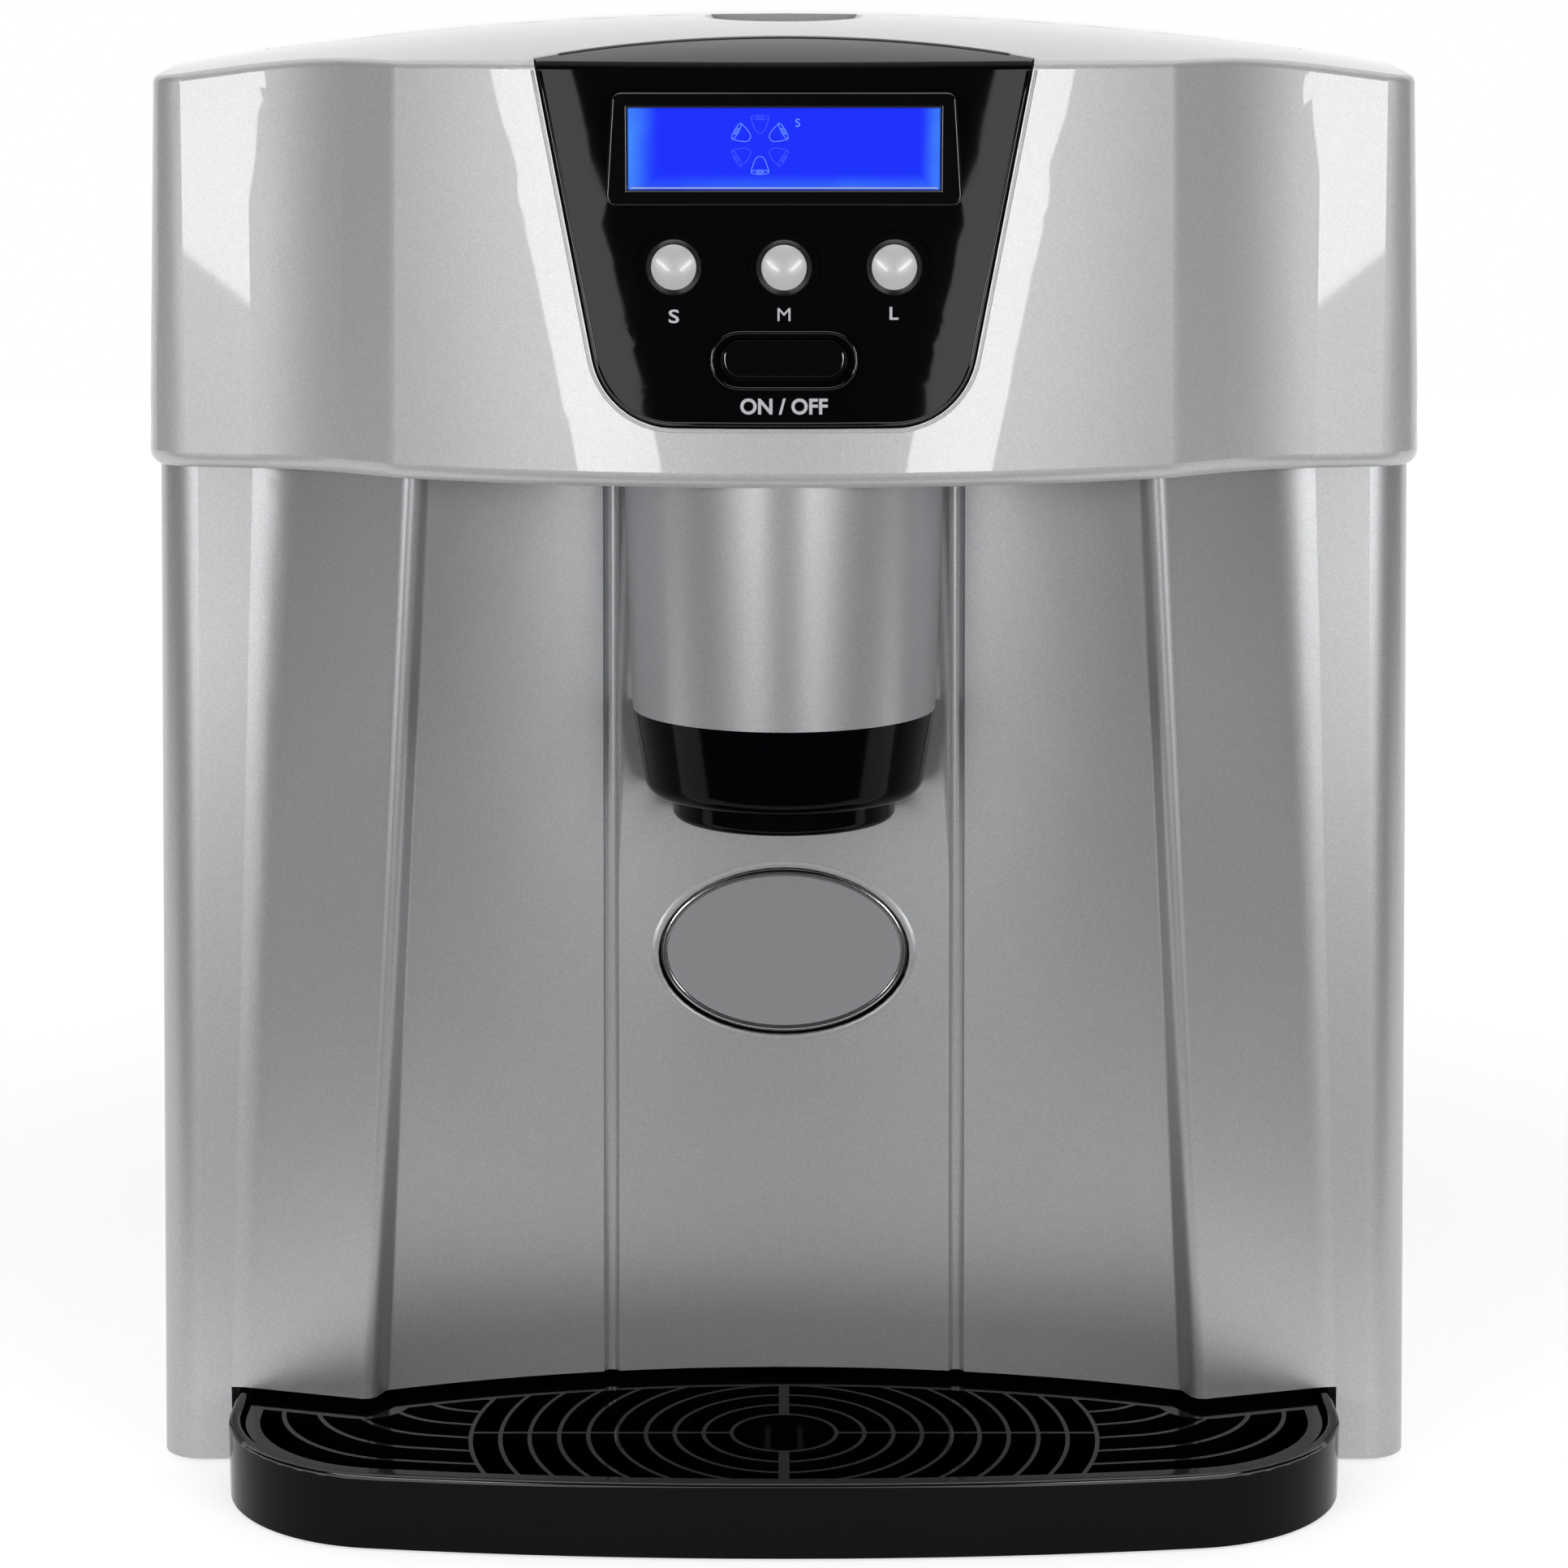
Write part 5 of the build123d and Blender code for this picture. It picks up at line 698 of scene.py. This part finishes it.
CUBE_RING_X, CUBE_RING_Z, CUBE_RING_RADIUS = -0.0063, 0.3800, 0.0054
CUBE_SIZE = 0.0047
CUBES_LIT, CUBES_FAINT = (150, 30, 270), (90, 210, 330)
LINE_LIT, LINE_FAINT = 0.00011, 0.00009
MARK_LIFT = 0.00002
SIZE_MARK_X, SIZE_MARK_Z, SIZE_MARK_LIFT = 0.0036, 0.3857, 0.00012
SIZE_MARK_WIDTH, SIZE_MARK_HEIGHT, SIZE_MARK_WEIGHT = 0.0013, 0.0021, 0.00001
EDGE_INSET, EDGE_RISE, EDGE_RADIUS = 0.0006, 0.0004, 0.0002


def cube_lines(centre, angle, depth):
    """A hollow ice cube seen from the side: its wall, its open end and the hole in it."""
    turn = angle - math.pi / 2
    half = CUBE_SIZE / 2
    mouth = 0.72 * half
    crown = 1.72 * half

    def at(u, v):
        x = centre[0] + u * math.cos(turn) - v * math.sin(turn)
        z = centre[1] + u * math.sin(turn) + v * math.cos(turn)
        return (x, depth, z)

    def oval(across, tall, count):
        return [at(across * half * math.cos(a), mouth + tall * half * math.sin(a))
                for a in [index * 2 * math.pi / count for index in range(count)]]

    wall = [at(half * share, mouth - crown * (1 - abs(share) ** 2.6))
            for share in [step / 8 - 1 for step in range(17)]]
    return [(wall, False), (oval(1.0, 0.24, 20), True), (oval(0.42, 0.10, 12), True)]


def make_display_marks(made):
    low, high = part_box("display_lens")
    depth = low.y - MARK_LIFT
    for name, places, radius, glow in (("display_marks_lit", CUBES_LIT, LINE_LIT, "bright_segment"),
                                       ("display_marks_faint", CUBES_FAINT, LINE_FAINT, "faint_segment")):
        lines = []
        for angle in [math.radians(degrees) for degrees in places]:
            centre = (CUBE_RING_X + CUBE_RING_RADIUS * math.cos(angle),
                      CUBE_RING_Z + CUBE_RING_RADIUS * math.sin(angle))
            lines += cube_lines(centre, angle, depth)
        add_piece(name, to_mesh(name, line_curve(name, lines, radius, 1)), made[glow], "cabinet")

    mesh = text_mesh("display_size", "S", SIZE_MARK_WIDTH, SIZE_MARK_HEIGHT, SIZE_MARK_WEIGHT)
    for vertex in mesh.vertices:
        vertex.co = (SIZE_MARK_X + vertex.co.x, low.y - SIZE_MARK_LIFT, SIZE_MARK_Z + vertex.co.y)
    add_piece("display_size", mesh, made["bright_segment"], "cabinet")

    foot = [(x, depth, low.z + EDGE_RISE) for x in (low.x + EDGE_INSET, high.x - EDGE_INSET)]
    pale = line_curve("display_pale_edge", [(foot, False)], EDGE_RADIUS, 1)
    add_piece("display_pale_edge", to_mesh("display_pale_edge", pale), made["pale_edge"], "cabinet")


# Rounded copies of sharp CAD pieces: edge width, segments and which edges

MERGE, SHARP_EDGE, FLAT_JOIN, SHARP_SHADE = 0.000002, 35.0, 0.2, 50.0
TRAY_LIP_Z, TRAY_LIP_Y, GRILLE_TOP_Z = 0.0218, -0.13, 0.0202


def everywhere(place):
    return True


def on_tray_lip(place):
    return place.z > TRAY_LIP_Z and place.y < TRAY_LIP_Y


def on_grille_top(place):
    return place.z > GRILLE_TOP_Z


ROUNDED = {
    "display_bezel": (0.0007, 3, everywhere),
    "dispense_lever": (0.0003, 2, everywhere),
    "outlet_ring": (0.0003, 2, everywhere),
    "drip_tray": (0.0012, 3, on_tray_lip),
    "drip_grille": (0.0003, 2, on_grille_top),
}


def rounded_copy(node, slot, width, segments, chosen):
    """A merged copy of a CAD node with rounded sharp edges, standing for the node."""
    source = nodes[node]
    bm = bmesh.new()
    bm.from_mesh(source.data)
    bmesh.ops.remove_doubles(bm, verts=bm.verts, dist=MERGE)
    bmesh.ops.dissolve_limit(bm, angle_limit=math.radians(FLAT_JOIN), verts=bm.verts, edges=bm.edges)
    edges = [e for e in bm.edges if len(e.link_faces) == 2
             and e.calc_face_angle(0) > math.radians(SHARP_EDGE)
             and chosen((e.verts[0].co + e.verts[1].co) / 2)]
    bmesh.ops.bevel(bm, geom=edges, offset=width, offset_type="OFFSET", segments=segments, profile=0.5,
                    affect="EDGES", clamp_overlap=True, material=-1)
    for face in bm.faces:
        face.smooth = True
    mesh = bpy.data.meshes.new(node + "_rounded")
    bm.to_mesh(mesh)
    bm.free()
    if "custom_normal" in mesh.attributes:
        mesh.attributes.remove(mesh.attributes["custom_normal"])
    piece = add_piece(node + "_rounded", mesh, source.material_slots[0].material, body_of(source)[0])
    keep_flat_faces(piece, SHARP_SHADE)
    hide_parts(node)


# The rims along the panel's outline, which the head's cut-out follows

RIM_LOW, RIM_LOW_HALF = 0.3056, 0.0477
RIM_HIGH, RIM_HIGH_HALF = 0.4010, 0.0660
RIM_START = 0.3985
RIM_CORNER = 0.022
RIM_SLOPE = (RIM_HIGH_HALF - RIM_LOW_HALF) / (RIM_HIGH - RIM_LOW)
DECK_SIDE_Y, DECK_BACK_Y = -0.1670, -0.1505
DECK_LEAD = 0.003
RIM_RADIUS = 0.0007
PANEL_RIM_GROW, PANEL_RIM_SINK = -0.0012, 0.0003
HEAD_RIM_GROW, HEAD_RIM_SINK = 0.0007, 0.00045


def rim_points(node, grow, sink):
    """Places along the panel's outline, grown by some width, on a node's skin: the front, then the deck."""
    lean = math.atan(RIM_SLOPE)
    radius = RIM_CORNER + grow
    base = RIM_LOW - grow

    def side_x(z):
        return RIM_LOW_HALF + grow / math.cos(lean) + RIM_SLOPE * (z - RIM_LOW)

    centre_z = base + radius
    centre_x = side_x(centre_z) - radius / math.cos(lean)
    half = []
    for step in range(9):
        z = RIM_START + step / 8 * (centre_z - radius * math.sin(lean) - RIM_START)
        half.append((side_x(z), z))
    for step in range(1, 13):
        angle = lean + step / 12 * (math.pi / 2 - lean)
        half.append((centre_x + radius * math.cos(angle), centre_z - radius * math.sin(angle)))
    for step in range(1, 5):
        half.append((centre_x * (1 - step / 4), base))
    outline = half + [(-x, z) for x, z in reversed(half[:-1])]
    points = [Vector((x, front_at(node, x, z) + sink, z)) for x, z in outline]

    side = RIM_HIGH_HALF + grow
    back = DECK_BACK_Y + grow
    rise = back - DECK_SIDE_Y
    sweep = (side ** 2 + rise ** 2) / (2 * rise)
    deck = [(-side, DECK_SIDE_Y - DECK_LEAD)]
    for step in range(25):
        x = -side + step / 24 * 2 * side
        deck.append((x, back - sweep + math.sqrt(sweep ** 2 - x ** 2)))
    deck.append((side, DECK_SIDE_Y - DECK_LEAD))
    return points + [Vector((x, y, top_at(node, x, y) - sink)) for x, y in deck]


# Collars of the size buttons and the cap of the power key in its recess

BUTTON_Z = 0.3481
COLLAR_RING, COLLAR_RADIUS, COLLAR_SINK = 0.0082, 0.0009, 0.0004
COLLAR_FACE_RISE = 0.0120
KEY_Z, KEY_WIDTH, KEY_HEIGHT = 0.3237, 0.0339, 0.0111
KEY_DEPTH, KEY_ROUND, KEY_PROUD, KEY_SHADE = 0.003, 0.0016, 0.00015, 60.0
RECESS_WIDTH, RECESS_HEIGHT, RECESS_RADIUS = 0.0384, 0.0148, 0.0005
RECESS_FACE_Z, RECESS_SINK = 0.3150, 0.0002


def make_collars(material):
    for name, x in BUTTON_X.items():
        face = front_at("control_panel", x, BUTTON_Z + COLLAR_FACE_RISE)
        bead("collar_" + name, ring(COLLAR_RING, x, face - COLLAR_SINK, BUTTON_Z), COLLAR_RADIUS, "cabinet",
             material)


def make_power_cap(material):
    """The stadium-shaped cap of the power key, with a rounded edge."""
    low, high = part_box("power_button")
    front = low.y - KEY_PROUD
    bm = bmesh.new()
    made = bmesh.ops.create_circle(bm, cap_ends=True, radius=KEY_HEIGHT / 2, segments=48)
    for vert in made["verts"]:
        vert.co.x += math.copysign(KEY_WIDTH / 2 - KEY_HEIGHT / 2, vert.co.x)
    bmesh.ops.rotate(bm, verts=bm.verts, matrix=Matrix.Rotation(math.radians(90), 3, "X"))
    grown = bmesh.ops.extrude_face_region(bm, geom=list(bm.faces))
    fresh = [v for v in grown["geom"] if isinstance(v, bmesh.types.BMVert)]
    bmesh.ops.translate(bm, verts=fresh, vec=(0, -KEY_DEPTH, 0))
    bmesh.ops.translate(bm, verts=bm.verts, vec=(0, front + KEY_DEPTH, KEY_Z))
    bmesh.ops.recalc_face_normals(bm, faces=bm.faces)
    rim = [e for e in bm.edges if all(v.co.y < front + KEY_DEPTH / 2 for v in e.verts)]
    bmesh.ops.bevel(bm, geom=rim, offset=KEY_ROUND, offset_type="OFFSET", segments=5, profile=0.5,
                    affect="EDGES", clamp_overlap=False, material=-1)
    for face in bm.faces:
        face.smooth = True
    mesh = bpy.data.meshes.new("power_cap")
    bm.to_mesh(mesh)
    bm.free()
    keep_flat_faces(add_piece("power_cap", mesh, material, "power_key"), KEY_SHADE)


def make_recess_rim(material):
    y = front_at("control_panel", 0.0, RECESS_FACE_Z) + RECESS_SINK
    bead("power_recess_rim", obround(RECESS_WIDTH, RECESS_HEIGHT, 0.0, y, KEY_Z), RECESS_RADIUS, "cabinet",
         material)


# The rolled rim of the drip tray

TRAY_RIM_RADIUS = 0.0010
TRAY_HUB = Vector((0.0, -0.150, 0.0215))
TRAY_RIM_START, TRAY_RIM_TURN, TRAY_RIM_STEPS = -168, 156, 72


def tray_rim_points():
    """Places along the front of the drip tray's rim, from one end to the other."""
    low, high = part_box("drip_tray")
    points = []
    for step in range(TRAY_RIM_STEPS + 1):
        angle = math.radians(TRAY_RIM_START + step / TRAY_RIM_STEPS * TRAY_RIM_TURN)
        out = Vector((math.cos(angle), math.sin(angle), 0))
        place = struck("drip_tray", TRAY_HUB + out, -out)
        points.append(Vector((place.x, place.y, high.z - TRAY_RIM_RADIUS)) - out * TRAY_RIM_RADIUS)
    return points


# The rolled lip of the lever's hole: half height, half width, middle height and depth from the niche wall

LIP_OUTER = (0.0270, 0.0384, 0.1490, 0.0002)
LIP_PROFILE = [LIP_OUTER, (0.0262, 0.0377, 0.1489, -0.0001), (0.0254, 0.0369, 0.1488, -0.0002),
               (0.0249, 0.0363, 0.1487, -0.0001), (0.0246, 0.0360, 0.1486, 0.0002),
               (0.0246, 0.0360, 0.1486, 0.0009)]


def make_lever_surround(material):
    """The rolled lip of the hole in the niche wall, in which the lever sits."""
    tall, across, level, depth = LIP_OUTER
    wall = [front_at("cabinet_shell", place.x, place.z)
            for place in ring(tall, 0.0, 0.0, level, across=across)]
    bm = bmesh.new()
    loops = []
    for tall, across, level, depth in LIP_PROFILE:
        made = bmesh.ops.create_circle(bm, cap_ends=False, radius=1.0, segments=48)
        for vert, place, y in zip(made["verts"], ring(tall, 0.0, 0.0, level, across=across), wall):
            vert.co = (place.x, y + depth, place.z)
        loops.append({e for v in made["verts"] for e in v.link_edges})
    for outer, inner in zip(loops, loops[1:]):
        bmesh.ops.bridge_loops(bm, edges=list(outer | inner))
    bmesh.ops.recalc_face_normals(bm, faces=bm.faces)
    for face in bm.faces:
        face.smooth = True
    mesh = bpy.data.meshes.new("lever_surround")
    bm.to_mesh(mesh)
    bm.free()
    add_piece("lever_surround", mesh, material, "cabinet")


make_camera()
make_studio()
materials = make_materials()
slots = dress_nodes(materials)
black, gloss = materials["polished_black"], materials["gloss_silver"]

for name, label in LABELS.items():
    make_label(name, *label, materials["label_ink"])
make_display_marks(materials)

# The tray is measured before its rounded copy replaces it
tray_rim = tray_rim_points()
for node, rounding in ROUNDED.items():
    rounded_copy(node, slots[node], *rounding)

bead("panel_rim", rim_points("control_panel", PANEL_RIM_GROW, PANEL_RIM_SINK), RIM_RADIUS, "cabinet", black)
bead("head_rim", rim_points("head_shell", HEAD_RIM_GROW, HEAD_RIM_SINK), RIM_RADIUS, "cabinet", gloss)
make_collars(black)
make_power_cap(black)
make_recess_rim(black)
bead("tray_rim", tray_rim, TRAY_RIM_RADIUS, body_of(nodes["drip_tray"])[0], black, closed=False)
make_lever_surround(materials["satin_silver"])
